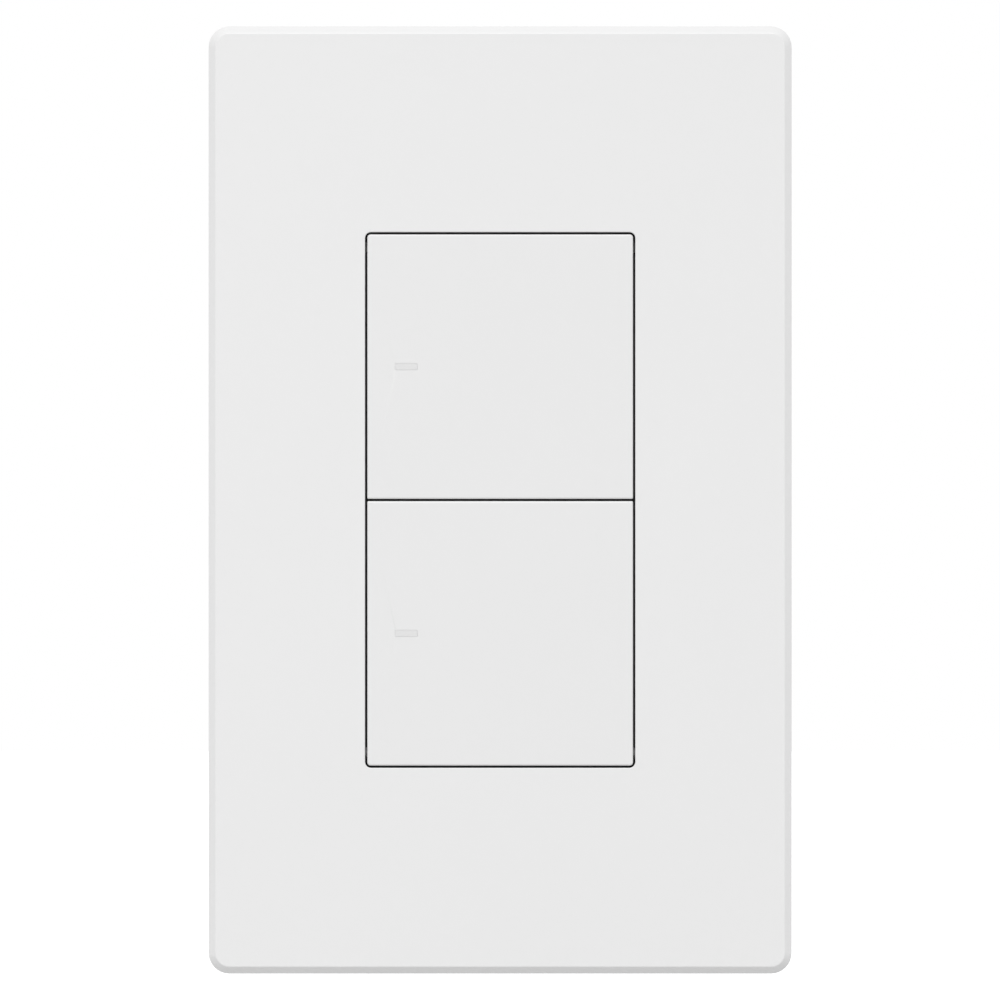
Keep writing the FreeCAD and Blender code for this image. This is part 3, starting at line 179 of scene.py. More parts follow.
def add_socket(tree, name, kind="Float", way="INPUT"):
    """A socket of a group."""
    return tree.interface.new_socket(name, in_out=way, socket_type="NodeSocket" + kind)


def new_group(name, inputs, outputs):
    """A shader group with a vector input, float inputs with their values, and float outputs."""
    tree = bpy.data.node_groups.new(name, "ShaderNodeTree")
    add_socket(tree, "Vector", "Vector")
    for label, default in inputs:
        add_socket(tree, label).default_value = default
    for label in outputs:
        add_socket(tree, label, way="OUTPUT")
    return tree, tree.nodes.new("NodeGroupInput").outputs, tree.nodes.new("NodeGroupOutput")


def moulded_group():
    """Moulded plastic: slow mottling, a flow-like sheen and fine grain."""
    tree, given, result = new_group(
        "moulded_surface",
        (("Mottle Scale", 60.0), ("Grain Scale", 5200.0), ("Flow Scale", 340.0)),
        ("Mottle", "Flow", "Grain"),
    )
    patterns = (("Mottle", 2.0, 0.5), ("Flow", 3.0, 0.5), ("Grain", 2.0, 0.6))
    for label, detail, roughness in patterns:
        pattern = noise(tree, given["Vector"], given[label + " Scale"], detail, roughness)
        fill(tree, result, {label: pattern})
    return tree


def drawn_group():
    """Drawn or rolled metal: long fine scratches along one axis and cloudy plating."""
    tree, given, result = new_group(
        "drawn_metal", (("Cloud Scale", 180.0), ("Scratch Scale", 900.0)), ("Cloud", "Scratch")
    )
    stretch = {"Vector": given["Vector"], "Scale": (9.0, 9.0, 0.4)}
    long_way = add_node(tree, "ShaderNodeMapping", stretch).outputs["Vector"]
    scratch = noise(tree, long_way, given["Scratch Scale"], 3.0, 0.7)
    cloud = noise(tree, given["Vector"], given["Cloud Scale"], 4.0)
    fill(tree, result, {"Scratch": scratch, "Cloud": cloud})
    return tree


def board_group():
    """A circuit board: a mask over woven glass, with straight copper runs under it."""
    tree, given, result = new_group(
        "board_surface", (("Run Scale", 420.0), ("Weave Scale", 2600.0)), ("Runs", "Weave")
    )
    turn = {"Vector": given["Vector"], "Rotation": (math.radians(90), 0.0, 0.0)}
    upright = add_node(tree, "ShaderNodeMapping", turn).outputs["Vector"]
    runs = {"Vector": upright, "Scale": given["Run Scale"]}
    gaps = {"Mortar Size": 0.035, "Mortar Smooth": 0.2}
    bricks = add_node(tree, "ShaderNodeTexBrick", runs | gaps)
    weave = noise(tree, given["Vector"], given["Weave Scale"], 1.0)
    fill(tree, result, {"Runs": bricks.outputs["Fac"], "Weave": weave})
    return tree


GROUP_BUILDERS = {"moulded": moulded_group, "drawn": drawn_group, "board": board_group}
GROUPS = {}


# Finishes
NOISE_SPAN = (0.3, 0.7)  # most values of a noise texture lie between these
FINE_RELIEF = 0.02 * MM
BOARD_RELIEF = 0.03 * MM


def new_material(name):
    """A material with its tree, its main shader and its object coordinates."""
    material = bpy.data.materials.new(name)
    material.use_nodes = True
    tree = material.node_tree
    place = tree.nodes.new("ShaderNodeTexCoord").outputs["Object"]
    return material, tree, tree.nodes["Principled BSDF"], place


def start_material(name, group):
    """A material with one shared group over its object coordinates."""
    if group not in GROUPS:
        GROUPS[group] = GROUP_BUILDERS[group]()
    material, tree, shader, place = new_material(name)
    surface = add_node(tree, "ShaderNodeGroup", {"Vector": place}, node_tree=GROUPS[group])
    return material, tree, shader, surface


def vary_colour(tree, shader, factor, low, high):
    """Base colour between two colours by a factor."""
    values = {"Factor": factor, "A": (*low, 1.0), "B": (*high, 1.0)}
    mix = add_node(tree, "ShaderNodeMix", values, data_type="RGBA")
    fill(tree, shader, {"Base Color": mix.outputs["Result"]})


def vary_roughness(tree, shader, factor, rough):
    """Roughness between two values by a noise."""
    fill(tree, shader, {"Roughness": map_range(tree, factor, NOISE_SPAN, rough)})


def raise_relief(tree, shader, height, strength, distance=FINE_RELIEF):
    """Relief from a height."""
    values = {"Strength": strength, "Distance": distance, "Height": height}
    fill(tree, shader, {"Normal": add_node(tree, "ShaderNodeBump", values).outputs["Normal"]})


def scaled(colour, factor):
    """A colour made darker or lighter."""
    return tuple(min(1.0, channel * factor) for channel in colour)


def moulded_plastic(name, colour, spread, rough, relief, grain=5200.0):
    """A moulded plastic: colour, its spread, a pair of roughnesses, relief and grain's scale."""
    material, tree, shader, surface = start_material(name, "moulded")
    fill(tree, surface, {"Grain Scale": grain})
    low, high = scaled(colour, 1.0 - spread), scaled(colour, 1.0 + spread)
    vary_colour(tree, shader, surface.outputs["Mottle"], low, high)
    vary_roughness(tree, shader, surface.outputs["Flow"], rough)
    raise_relief(tree, shader, surface.outputs["Grain"], relief)
    return material


def milky_moulding(*look):
    """The milky plastic of the indicator bars, which light scatters in."""
    material = moulded_plastic(*look)
    tree = material.node_tree
    scatter = {"Subsurface Weight": 0.25, "Subsurface Radius": (1.0, 1.0, 1.0)}
    depth = {"Subsurface Scale": 0.3 * MM}
    fill(tree, tree.nodes["Principled BSDF"], scatter | depth)
    return material


def plated_metal(name, colour, tint, rough, relief=0.12):
    """A rolled or turned metal, with cloudy plating between two colours."""
    material, tree, shader, surface = start_material(name, "drawn")
    vary_colour(tree, shader, surface.outputs["Cloud"], colour, tint)
    vary_roughness(tree, shader, surface.outputs["Scratch"], rough)
    fill(tree, shader, {"Metallic": 1.0})
    raise_relief(tree, shader, surface.outputs["Scratch"], relief)
    return material


def circuit_board(name, mask, copper):
    """A circuit board whose runs show as lighter lines under its mask."""
    material, tree, shader, surface = start_material(name, "board")
    vary_colour(tree, shader, surface.outputs["Runs"], mask, copper)
    vary_roughness(tree, shader, surface.outputs["Weave"], (0.28, 0.4))
    raise_relief(tree, shader, surface.outputs["Runs"], 0.3, BOARD_RELIEF)
    return material


def clear_moulding(name, colour, tint):
    """Clear acrylic with a faint haze."""
    material, tree, shader, surface = start_material(name, "moulded")
    vary_colour(tree, shader, surface.outputs["Mottle"], colour, tint)
    vary_roughness(tree, shader, surface.outputs["Flow"], (0.03, 0.12))
    fill(tree, shader, {"Transmission Weight": 1.0, "IOR": 1.49})
    return material


# Material's name, colour, its spread, roughnesses, relief and the grain's scale
PLASTICS = {
    "bracket": ("bracket_white", (0.7, 0.7, 0.69), 0.02, (0.42, 0.52), 0.2),
    "fibre": ("fibre_red", (0.34, 0.09, 0.06), 0.2, (0.7, 0.85), 0.7, 1500.0),
    "tact": ("push_switch_black", (0.03, 0.03, 0.03), 0.15, (0.35, 0.45), 0.2),
    "plunger": ("plunger_natural", (0.75, 0.75, 0.7), 0.03, (0.3, 0.4), 0.1),
    "led": ("light_source", (0.82, 0.78, 0.55), 0.08, (0.35, 0.5), 0.1, 2500.0),
    "nylon": ("spacer_nylon", (0.8, 0.79, 0.73), 0.04, (0.4, 0.5), 0.2),
    "header": ("connector_black", (0.03, 0.03, 0.03), 0.2, (0.4, 0.5), 0.25),
    "relay": ("relay_blue", (0.03, 0.13, 0.38), 0.08, (0.22, 0.3), 0.08),
    "ferrite": ("ferrite", (0.09, 0.09, 0.09), 0.3, (0.6, 0.8), 0.6, 1800.0),
    "film": ("film_yellow", (0.72, 0.5, 0.07), 0.07, (0.35, 0.45), 0.15),
    "disc": ("dipped_blue", (0.05, 0.17, 0.48), 0.12, (0.2, 0.3), 0.35, 900.0),
}
# Material's name, colour, its tint where the plating is thick, roughnesses and relief
METALS = {
    "zinc": ("zinc_plate", (0.56, 0.56, 0.55), (0.68, 0.67, 0.63), (0.26, 0.42)),
    "screw": ("screw_zinc", (0.55, 0.55, 0.54), (0.68, 0.68, 0.66), (0.2, 0.34)),
    "green": ("screw_green", (0.03, 0.2, 0.08), (0.06, 0.3, 0.12), (0.26, 0.4)),
    "brass": ("brass", (0.72, 0.5, 0.2), (0.83, 0.62, 0.3), (0.2, 0.34)),
    "nickel": ("clamp_nickel", (0.6, 0.58, 0.54), (0.72, 0.7, 0.66), (0.22, 0.36)),
    "tin": ("tinned_shield", (0.66, 0.66, 0.64), (0.76, 0.76, 0.74), (0.2, 0.3), 0.06),
    "can": ("can_sleeve", (0.55, 0.56, 0.58), (0.66, 0.67, 0.69), (0.25, 0.35), 0.06),
}
MATERIALS = {}


def make_materials(colours):
    """Every finish of the switch, by name."""
    own = {
        "plate": ("plate_satin_white", colours.plate, 0.006, (0.3, 0.36), 0.05),
        "button": ("button_satin_white", colours.button, 0.006, (0.28, 0.34), 0.05),
        # The frame's own grey, darkened further as painted shade in the gaps round the buttons.
        "frame": ("frame_dark", colours.frame, 0.05, (0.44, 0.52), 0.3, 3800.0),
        "housing": ("housing_dark", colours.housing, 0.05, (0.46, 0.52), 0.5, 2600.0),
    }
    for finish, look in (own | PLASTICS).items():
        MATERIALS[finish] = moulded_plastic(*look)
    for finish, look in METALS.items():
        MATERIALS[finish] = plated_metal(*look)
    MATERIALS["lens"] = milky_moulding("indicator_milk", colours.lens, 0.015, (0.32, 0.42), 0.06)
    MATERIALS["board"] = circuit_board("board_green", (0.012, 0.11, 0.045), (0.03, 0.2, 0.08))
    MATERIALS["clear"] = clear_moulding("guide_clear", (0.93, 0.95, 0.96), (0.97, 0.98, 0.99))


# Solids that are shown as they are
NODE_FINISH = {
    "plunger_upper": "plunger",
    "plunger_lower": "plunger",
    "led_upper": "led",
    "led_lower": "led",
    "surge_absorber": "disc",
    "storage_capacitor": "can",
    "control_board": "board",
    "power_board": "board",
    "light_guide_upper": "clear",
    "light_guide_lower": "clear",
}


# Mesh making
MERGE = 0.001 * MM
FLAT_ANGLE = math.radians(1)
HARD_ANGLE = math.radians(30)
SOFTENED_ANGLE = math.radians(40)


def rounded(half_x, half_z, radii, y, middle=(0.0, 0.0), steps=8):
    """Points round a rounded rectangle at one depth; one radius, or one for top and bottom."""
    points = []
    if isinstance(radii, float):
        radii = (radii, radii)
    centres = ((1, 1), (-1, 1), (-1, -1), (1, -1))
    for corner, (across, up) in enumerate(centres):
        radius = radii[0] if up > 0 else radii[1]
        centre_x = middle[0] + across * (half_x - radius)
        centre_z = middle[1] + up * (half_z - radius)
        for step in range(steps + 1):
            angle = (corner + step / steps) * math.pi / 2
            x = centre_x + radius * math.cos(angle)
            z = centre_z + radius * math.sin(angle)
            points.append((x, y, z))
    return points


def arc(radius, degrees, steps):
    """Steps of an arc that leaves a straight line: how far off the line, and how far along."""
    turns = [math.radians(degrees) * step / steps for step in range(steps + 1)]
    return [(radius * (1 - math.cos(turn)), radius * math.sin(turn)) for turn in turns]


def angles_of(count):
    """Angles of equal steps round a circle."""
    return [index / count * math.tau for index in range(count)]


def disc_points(first, second, radius, count):
    """Points of a circle about a centre."""
    turns = angles_of(count)
    return [(first + radius * math.cos(turn), second + radius * math.sin(turn)) for turn in turns]


def circle_at(y, radius, count, middle=(0.0, 0.0)):
    """Points of a circle at one depth."""
    return [(x, y, z) for x, z in disc_points(*middle, radius, count)]


def skin(mesh, rings, closed=False):
    """Faces between rings of equal counts, with lids on both ends unless it closes on itself."""
    rows = [[mesh.verts.new(point) for point in ring] for ring in rings]
    pairs = list(zip(rows, rows[1:]))
    if closed:
        pairs.append((rows[-1], rows[0]))
    for lower, upper in pairs:
        count = len(lower)
        for index in range(count):
            after = (index + 1) % count
            mesh.faces.new((lower[index], lower[after], upper[after], upper[index]))
    if not closed:
        mesh.faces.new(rows[0])
        mesh.faces.new(rows[-1])


def prism(mesh, points, axis, low, high):
    """A straight prism of an outline along an axis; points are the other two coordinates."""
    rings = []
    for level in (low, high):
        ring = [[first, second] for first, second in points]
        for spot in ring:
            spot.insert(axis, level)
        rings.append(ring)
    skin(mesh, rings)


def brick(mesh, x, y, z):
    """A box between three pairs of limits."""
    prism(mesh, ((x[0], y[0]), (x[1], y[0]), (x[1], y[1]), (x[0], y[1])), 2, z[0], z[1])


def put_in_scene(name, data):
    """An object in the scene."""
    item = bpy.data.objects.new(name, data)
    bpy.context.scene.collection.objects.link(item)
    return item


def raw_object(name, mesh):
    """An object from a bmesh, with its faces turned outwards."""
    bmesh.ops.recalc_face_normals(mesh, faces=mesh.faces)
    data = bpy.data.meshes.new(name)
    mesh.to_mesh(data)
    mesh.free()
    return put_in_scene(name, data)


def settle(item):
    """Replace an object's mesh by what its modifiers make of it."""
    graph = bpy.context.evaluated_depsgraph_get()
    made = bpy.data.meshes.new_from_object(item.evaluated_get(graph))
    item.modifiers.clear()
    item.data = made


def combine(item, operation, name, mesh):
    """Join the bodies in a bmesh to an object, or cut them from it."""
    tool = raw_object(name, mesh)
    step = item.modifiers.new(name, "BOOLEAN")
    step.object = tool
    step.operation = operation
    step.solver = "EXACT"
    step.use_self = True
    settle(item)
    bpy.data.objects.remove(tool)


def smooth(data):
    """Smooth shading with hard edges where faces meet at an angle."""
    for face in data.polygons:
        face.use_smooth = True
    data.set_sharp_from_angle(angle=HARD_ANGLE)


def polish(item):
    """Smooth shading that keeps flat faces flat and hard edges hard."""
    smooth(item.data)
    step = item.modifiers.new("flat_faces", "WEIGHTED_NORMAL")
    step.keep_sharp = True
    step.weight = 100
    settle(item)


def soften(item, width):
    """A small round on hard edges, without the slivers where it has no room."""
    step = item.modifiers.new("soft_edges", "BEVEL")
    step.width = width
    step.segments = 2
    step.limit_method = "ANGLE"
    step.angle_limit = SOFTENED_ANGLE
    step.use_clamp_overlap = True
    settle(item)
    mesh = bmesh.new()
    mesh.from_mesh(item.data)
    bmesh.ops.remove_doubles(mesh, verts=mesh.verts, dist=MERGE)
    mesh.to_mesh(item.data)
    mesh.free()


def finish_piece(item, finish, body, node):
    """Give a piece its material and its body, and hide the solid that it stands for."""
    item.data.materials.clear()
    item.data.materials.append(MATERIALS[finish])
    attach(item, body)
    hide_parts(node)


def copy_of(node, name):
    """A merged copy of a solid's mesh, with each flat face in as few pieces as it can be."""
    mesh = bmesh.new()
    mesh.from_mesh(frame["nodes"][node].data)
    bmesh.ops.remove_doubles(mesh, verts=mesh.verts, dist=MERGE)
    bmesh.ops.dissolve_limit(mesh, angle_limit=FLAT_ANGLE, verts=mesh.verts, edges=mesh.edges)
    return raw_object(name, mesh)


# The wall plate
SUNK = 0.3 * MM  # ribs and posts start this far inside the wall that carries them
SHELL_CORNER = 1.0 * MM
COLLAR_REACH = 1.32 * MM  # the frame's collar, from the opening's edge
LIP_INNER, LIP_OUTER = (0.2 * MM, 0.3 * MM), (1.1 * MM, 0.6 * MM)  # from the collar, corner
LIP_REAR = -4.8 * MM
RIB_HALF = 0.45 * MM
RIB_PLACE = 7.2 * MM  # from the collar
RIB_REAR = -4.5 * MM
RIB_SUNK = 0.4 * MM
SNAP_HOOK = ((1.4, -0.3), (0.3, -0.3), (-0.5, -1.1), (0.3, -1.1))  # from the bracket's edge
SNAP_PLACES = ((2, 33.0 * MM, 30.0 * MM), (0, 56.0 * MM, 20.0 * MM))  # axis, edge, middle
SNAP_HALF = 4.0 * MM
NOTCH_HALF, NOTCH_TOP = 4.0 * MM, -1.1 * MM


def plate_rings(size, half_x, half_z, front):
    """Rings around the plate's shell: side, bevel, face, opening and back."""
    corner, bevel, edge = size.corner, size.bevel, size.window_edge
    window_x, window_z, window_corner = size.window_x, size.window_z, size.window_corner
    reach = size.soften * math.tan(math.radians(22.5))
    curve = arc(size.soften, 45, 4)
    rows = [(off, front + bevel + reach - along) for off, along in curve]
    rows += [(bevel + reach - along, front + off) for off, along in reversed(curve)]
    rings = [rounded(half_x, half_z, corner, 0.0)]
    for inset, depth in rows:
        rings.append(rounded(half_x - inset, half_z - inset, corner - inset, depth))
    for off, along in arc(edge, 90, 4):
        grown = edge - along
        ring = rounded(window_x + grown, window_z + grown, window_corner + grown, front + off)
        rings.append(ring)
    back = front + size.face
    inner_x, inner_z = half_x - size.rim, half_z - size.rim
    rings.append(rounded(window_x, window_z, window_corner, back))
    rings.append(rounded(inner_x, inner_z, SHELL_CORNER, back))
    rings.append(rounded(inner_x, inner_z, SHELL_CORNER, 0.0))
    return rings


def rooted(outline, root, edge=0.0):
    """A hook's outline, as reach and depth in millimetres, led to its root at both ends."""
    points = [(edge + reach * MM, depth * MM) for reach, depth in outline]
    return [(points[0][0], root), *points, (points[-1][0], root)]


def build_plate(size):
    """The wall plate with its ribs, lip, snap hooks and lifting notch."""
    half_x, half_z, front = PLATE_HIGH.x, PLATE_HIGH.z, PLATE_LOW.y
    mesh = bmesh.new()
    skin(mesh, plate_rings(size, half_x, half_z, front), closed=True)
    plate = raw_object("plate_shell", mesh)
    root = front + size.face - SUNK
    collar_x, collar_z = size.window_x + COLLAR_REACH, size.window_z + COLLAR_REACH

    lip = []
    for (reach, corner), depth in (
        (LIP_OUTER, root), (LIP_OUTER, LIP_REAR), (LIP_INNER, LIP_REAR), (LIP_INNER, root)
    ):
        lip.append(rounded(collar_x + reach, collar_z + reach, corner, depth))
    detail = bmesh.new()
    skin(detail, lip, closed=True)
    combine(plate, "UNION", "lip", detail)

    detail = bmesh.new()
    inside_x, inside_z = half_x - size.rim + RIB_SUNK, half_z - size.rim + RIB_SUNK
    for way in SIDES:
        place = way * (collar_x + RIB_PLACE)
        across = (place - RIB_HALF, place + RIB_HALF)
        brick(detail, across, (root, RIB_REAR), (-inside_z, inside_z))
    for way in SIDES:
        place = way * (collar_z + RIB_PLACE)
        upright = (place - RIB_HALF, place + RIB_HALF)
        brick(detail, (-inside_x, inside_x), (root, RIB_REAR), upright)
    combine(plate, "UNION", "ribs", detail)

    detail = bmesh.new()
    for across, up in CORNERS:
        for axis, edge, middle in SNAP_PLACES:
            profile = rooted(SNAP_HOOK, root, edge)
            if axis == 2:
                points, along = [(across * reach, depth) for reach, depth in profile], up
            else:
                points, along = [(depth, up * reach) for reach, depth in profile], across
            ends = sorted((along * middle - SNAP_HALF, along * middle + SNAP_HALF))
            prism(detail, points, axis, *ends)
    combine(plate, "UNION", "hooks", detail)

    detail = bmesh.new()
    upright = (-half_z - MM, -half_z + size.rim)
    brick(detail, (-NOTCH_HALF, NOTCH_HALF), (NOTCH_TOP, 1.0 * MM), upright)
    combine(plate, "DIFFERENCE", "notch", detail)
    polish(plate)
    finish_piece(plate, "plate", "housing", "faceplate")


# The buttons and the indicator bars
LENS_MARGIN = 3.5 * MM  # indicator bar from the button's side
SLOT_CORNER, SLOT_EDGE = 0.2 * MM, 0.01 * MM
LEAST_CORNER = 0.03 * MM
INNER_CORNER, INNER_FILLET = 0.5 * MM, 0.3 * MM
BUTTON_RIB_PLACE, BUTTON_RIB_REAR = 5.5 * MM, -5.0 * MM
BUTTON_RIB_ENDS = (0.9 * MM, 32.7 * MM)
POST_PLACE = 5.6 * MM
POST_SIDES, POST_SHOULDER = (1.2 * MM, 1.2 * MM, 0.3 * MM), -3.1 * MM  # half widths, corner
POST_END, POST_TIP = (1.05 * MM, 1.05 * MM, 0.2 * MM), -2.95 * MM
HINGE_DEPTH, HINGE_PLACE = -4.4 * MM, 32.02 * MM
PIN_START, PIN_TIP, PIN_CHAMFER = 16.2 * MM, 17.97 * MM, 0.2 * MM
PIN_RADIUS, PIN_TIP_RADIUS, PIN_POINTS = 0.75 * MM, 0.6 * MM, 28
CATCH = ((0.64, -0.15), (1.84, -0.15), (2.44, -0.8), (2.44, -1.15), (1.84, -1.15))
CATCH_PLACE, CATCH_HALF = 11.97 * MM, 1.5 * MM
LENS_CORNER, LENS_EDGE = 0.19 * MM, 0.02 * MM
FLANGE_REACH, FLANGE_CORNER, FLANGE_THICK = 0.7 * MM, 0.4 * MM, 0.5 * MM


def button_middle(size, up):
    """The middle of a button's height."""
    return up * (size.near_z + size.far_z) / 2


def button_rings(size, front, up):
    """Rings around a button's shell: skirt, front edge, face, indicator slot and inside."""
    middle = (0.0, button_middle(size, up))
    half_x, half_z = size.half_x, (size.far_z - size.near_z) / 2
    rear, ceiling, edge = front + size.depth, front + size.wall, size.edge
    radii = (size.corner, size.near_corner) if up > 0 else (size.near_corner, size.corner)
    rings = [rounded(half_x, half_z, radii, rear, middle)]
    for inset, along in arc(edge, 90, 6):
        tight = tuple(max(radius - inset, LEAST_CORNER) for radius in radii)
        depth = front + edge - along
        rings.append(rounded(half_x - inset, half_z - inset, tight, depth, middle))
    slot_x, slot_z = size.lens_x + size.lens_fit, size.lens_z + size.lens_fit
    centre = (LENS_MARGIN + size.lens_x - half_x, middle[1])
    for off, along in arc(SLOT_EDGE, 90, 3):
        grown = SLOT_EDGE - along
        corner = SLOT_CORNER + grown
        rings.append(rounded(slot_x + grown, slot_z + grown, corner, front + off, centre))
    rings.append(rounded(slot_x, slot_z, SLOT_CORNER, ceiling, centre))
    inner_x, inner_z, fillet = half_x - size.skirt, half_z - size.skirt, INNER_FILLET
    rings.append(rounded(inner_x - fillet, inner_z - fillet, fillet, ceiling, middle))
    rings.append(rounded(inner_x, inner_z, INNER_CORNER, ceiling + fillet, middle))
    rings.append(rounded(inner_x, inner_z, INNER_CORNER, rear, middle))
    return rings


def build_button(name, size, up, body, node):
    """One button with its hinge pins, ribs, pusher post and retaining hooks."""
    front = PLATE_LOW.y
    mesh = bmesh.new()
    skin(mesh, button_rings(size, front, up), closed=True)
    button = raw_object(name, mesh)
    root = front + size.wall - SUNK

    detail = bmesh.new()
    ends = sorted(up * end for end in BUTTON_RIB_ENDS)
    for across in SIDES:
        place = across * BUTTON_RIB_PLACE
        brick(detail, (place - RIB_HALF, place + RIB_HALF), (root, BUTTON_RIB_REAR), ends)
    combine(button, "UNION", "ribs", detail)

    detail = bmesh.new()
    spot = (0.0, up * POST_PLACE)
    post = [
        rounded(*POST_SIDES, root, spot),
        rounded(*POST_SIDES, POST_SHOULDER, spot),
        rounded(*POST_END, POST_TIP, spot),
    ]
    skin(detail, post)
    combine(button, "UNION", "post", detail)

    detail = bmesh.new()
    for across in SIDES:
        start, tip = across * PIN_START, across * PIN_TIP
        shoulder = tip - across * PIN_CHAMFER
        rings = []
        for place, radius in (
            (start, PIN_RADIUS), (shoulder, PIN_RADIUS), (tip, PIN_TIP_RADIUS)
        ):
            spots = disc_points(HINGE_DEPTH, up * HINGE_PLACE, radius, PIN_POINTS)
            rings.append([(place, depth, height) for depth, height in spots])
        skin(detail, rings)
    combine(button, "UNION", "pins", detail)

    detail = bmesh.new()
    points = [(depth, up * height) for height, depth in rooted(CATCH, root)]
    for across in SIDES:
        place = across * CATCH_PLACE
        prism(detail, points, 0, place - CATCH_HALF, place + CATCH_HALF)
    combine(button, "UNION", "catches", detail)
    polish(button)
    finish_piece(button, "button", body, node)


def build_indicator(name, size, up, body, node):
    """One indicator bar with its flange behind the button's wall."""
    front = PLATE_LOW.y
    ceiling = front + size.wall
    centre = (LENS_MARGIN + size.lens_x - size.half_x, button_middle(size, up))
    half_x, half_z = size.lens_x, size.lens_z
    wide, high = half_x + FLANGE_REACH, half_z + FLANGE_REACH
    rings = [
        rounded(wide, high, FLANGE_CORNER, ceiling + FLANGE_THICK, centre),
        rounded(wide, high, FLANGE_CORNER, ceiling, centre),
        rounded(half_x, half_z, LENS_CORNER, ceiling, centre),
    ]
    for inset, along in arc(LENS_EDGE, 90, 4):
        corner, depth = LENS_CORNER - inset, front + LENS_EDGE - along
        rings.append(rounded(half_x - inset, half_z - inset, corner, depth, centre))
    mesh = bmesh.new()
    skin(mesh, rings)
    lens = raw_object(name, mesh)
    polish(lens)
    finish_piece(lens, "lens", body, node)


# The fasteners
ROUND = 36  # points round a screw
ROWS_PER_PITCH = 12
DOME_SHARE = 0.25  # dome of a head, as a share of its thickness
HEAD_EDGE = 0.12 * MM
HEAD_MARGIN = 0.05 * MM
NECK_FILLET = 0.1 * MM
THREAD_START = 0.12 * MM
NECK_GROWTH = 0.01 * MM
POINT_TAPER = 0.35 * MM
THREAD_FLAT, THREAD_SLOPE = 1.35, 3.6  # higher is a wider crest, and a steeper flank
SLOT_DEPTH = 0.55  # as a share of the head's thickness
RECESS_ARM = 0.58  # as a share of the head's radius
RECESS_WIDTH = 0.8  # as a share of the slot's width
RECESS_DEPTH = 1.15  # as a share of the slot's depth
RECESS_TAPER = 0.5
RECESS_START = -0.5 * MM


class Fastener(NamedTuple):
    """One kind of screw: radii and lengths in millimetres, its places, looks and recesses."""

    head: float
    thick: float
    shank: float
    plain: float
    length: float
    pitch: float
    spots: object
    finish: str = "screw"
    slot: str = "screw_zinc"
    slot_reach: float = 1.2  # as a share of the head's radius
    cross: bool = True


def fastener_tree():
    """Sets one fastener out on every point, each turned by the point's own angles."""
    tree = bpy.data.node_groups.new("fasteners_on_points", "GeometryNodeTree")
    add_socket(tree, "Points", "Geometry")
    add_socket(tree, "Fastener", "Object")
    add_socket(tree, "Size").default_value = 1.0
    add_socket(tree, "Finish", "Material")
    add_socket(tree, "Fasteners", "Geometry", "OUTPUT")
    given = tree.nodes.new("NodeGroupInput").outputs
    result = tree.nodes.new("NodeGroupOutput")
    shape = add_node(tree, "GeometryNodeObjectInfo", {"Object": given["Fastener"]})
    name = {"Name": "turn"}
    turn = add_node(tree, "GeometryNodeInputNamedAttribute", name, data_type="FLOAT_VECTOR")
    angles = add_node(tree, "FunctionNodeEulerToRotation", {"Euler": turn.outputs["Attribute"]})
    places = {"Points": given["Points"], "Scale": given["Size"]}
    stands = {"Instance": shape.outputs["Geometry"], "Rotation": angles.outputs["Rotation"]}
    setting = add_node(tree, "GeometryNodeInstanceOnPoints", places | stands)
    copies = {"Geometry": setting.outputs["Instances"]}
    real = add_node(tree, "GeometryNodeRealizeInstances", copies)
    paint = {"Geometry": real.outputs["Geometry"], "Material": given["Finish"]}
    painted = add_node(tree, "GeometryNodeSetMaterial", paint)
    fill(tree, result, {"Fasteners": painted.outputs["Geometry"]})
    return tree


def screw_rings(kind, size):
    """Rings of a screw from its domed head to its tip, along +Y, with a real helix."""
    head, thick, plain = kind.head * MM, kind.thick * MM, kind.plain * MM
    length, pitch = kind.length * MM, kind.pitch * MM
    core = kind.shank * MM - size.thread_depth
    neck = core if plain > thick else core + NECK_GROWTH
    start = plain + THREAD_START
    dome = DOME_SHARE * thick
    rows = [(head * along, dome * off) for off, along in arc(1.0, 90, 8)[1:]]
    rows += [(head, thick - HEAD_EDGE), (head - HEAD_EDGE, thick)]
    rows += [(neck + NECK_FILLET, thick), (neck, thick + NECK_FILLET), (neck, start)]
    rings = [circle_at(y, radius, ROUND) for radius, y in rows]
    tip = length - 0.5 * pitch
    for step in range(1, int((tip - start) / pitch * ROWS_PER_PITCH) + 1):
        y = start + step * pitch / ROWS_PER_PITCH
        fade = min(1.0, (y - start) / pitch, (length - y) / pitch)
        ring = []
        for angle in angles_of(ROUND):
            phase = (step / ROWS_PER_PITCH - angle / math.tau) % 1.0
            wave = min(1.0, max(0.0, THREAD_FLAT - abs(phase - 0.5) * THREAD_SLOPE))
            radius = core + size.thread_depth * wave * fade
            ring.append((radius * math.cos(angle), y, radius * math.sin(angle)))
        rings.append(ring)
    rings.append(circle_at(length, core - POINT_TAPER, ROUND))
    return rings


def shade_screw(data, thick):
    """Smooth threads, and hard edges on the head alone."""
    smooth(data)
    for edge in data.edges:
        if min(data.vertices[spot].co.y for spot in edge.vertices) > thick + HEAD_MARGIN:
            edge.use_edge_sharp = False


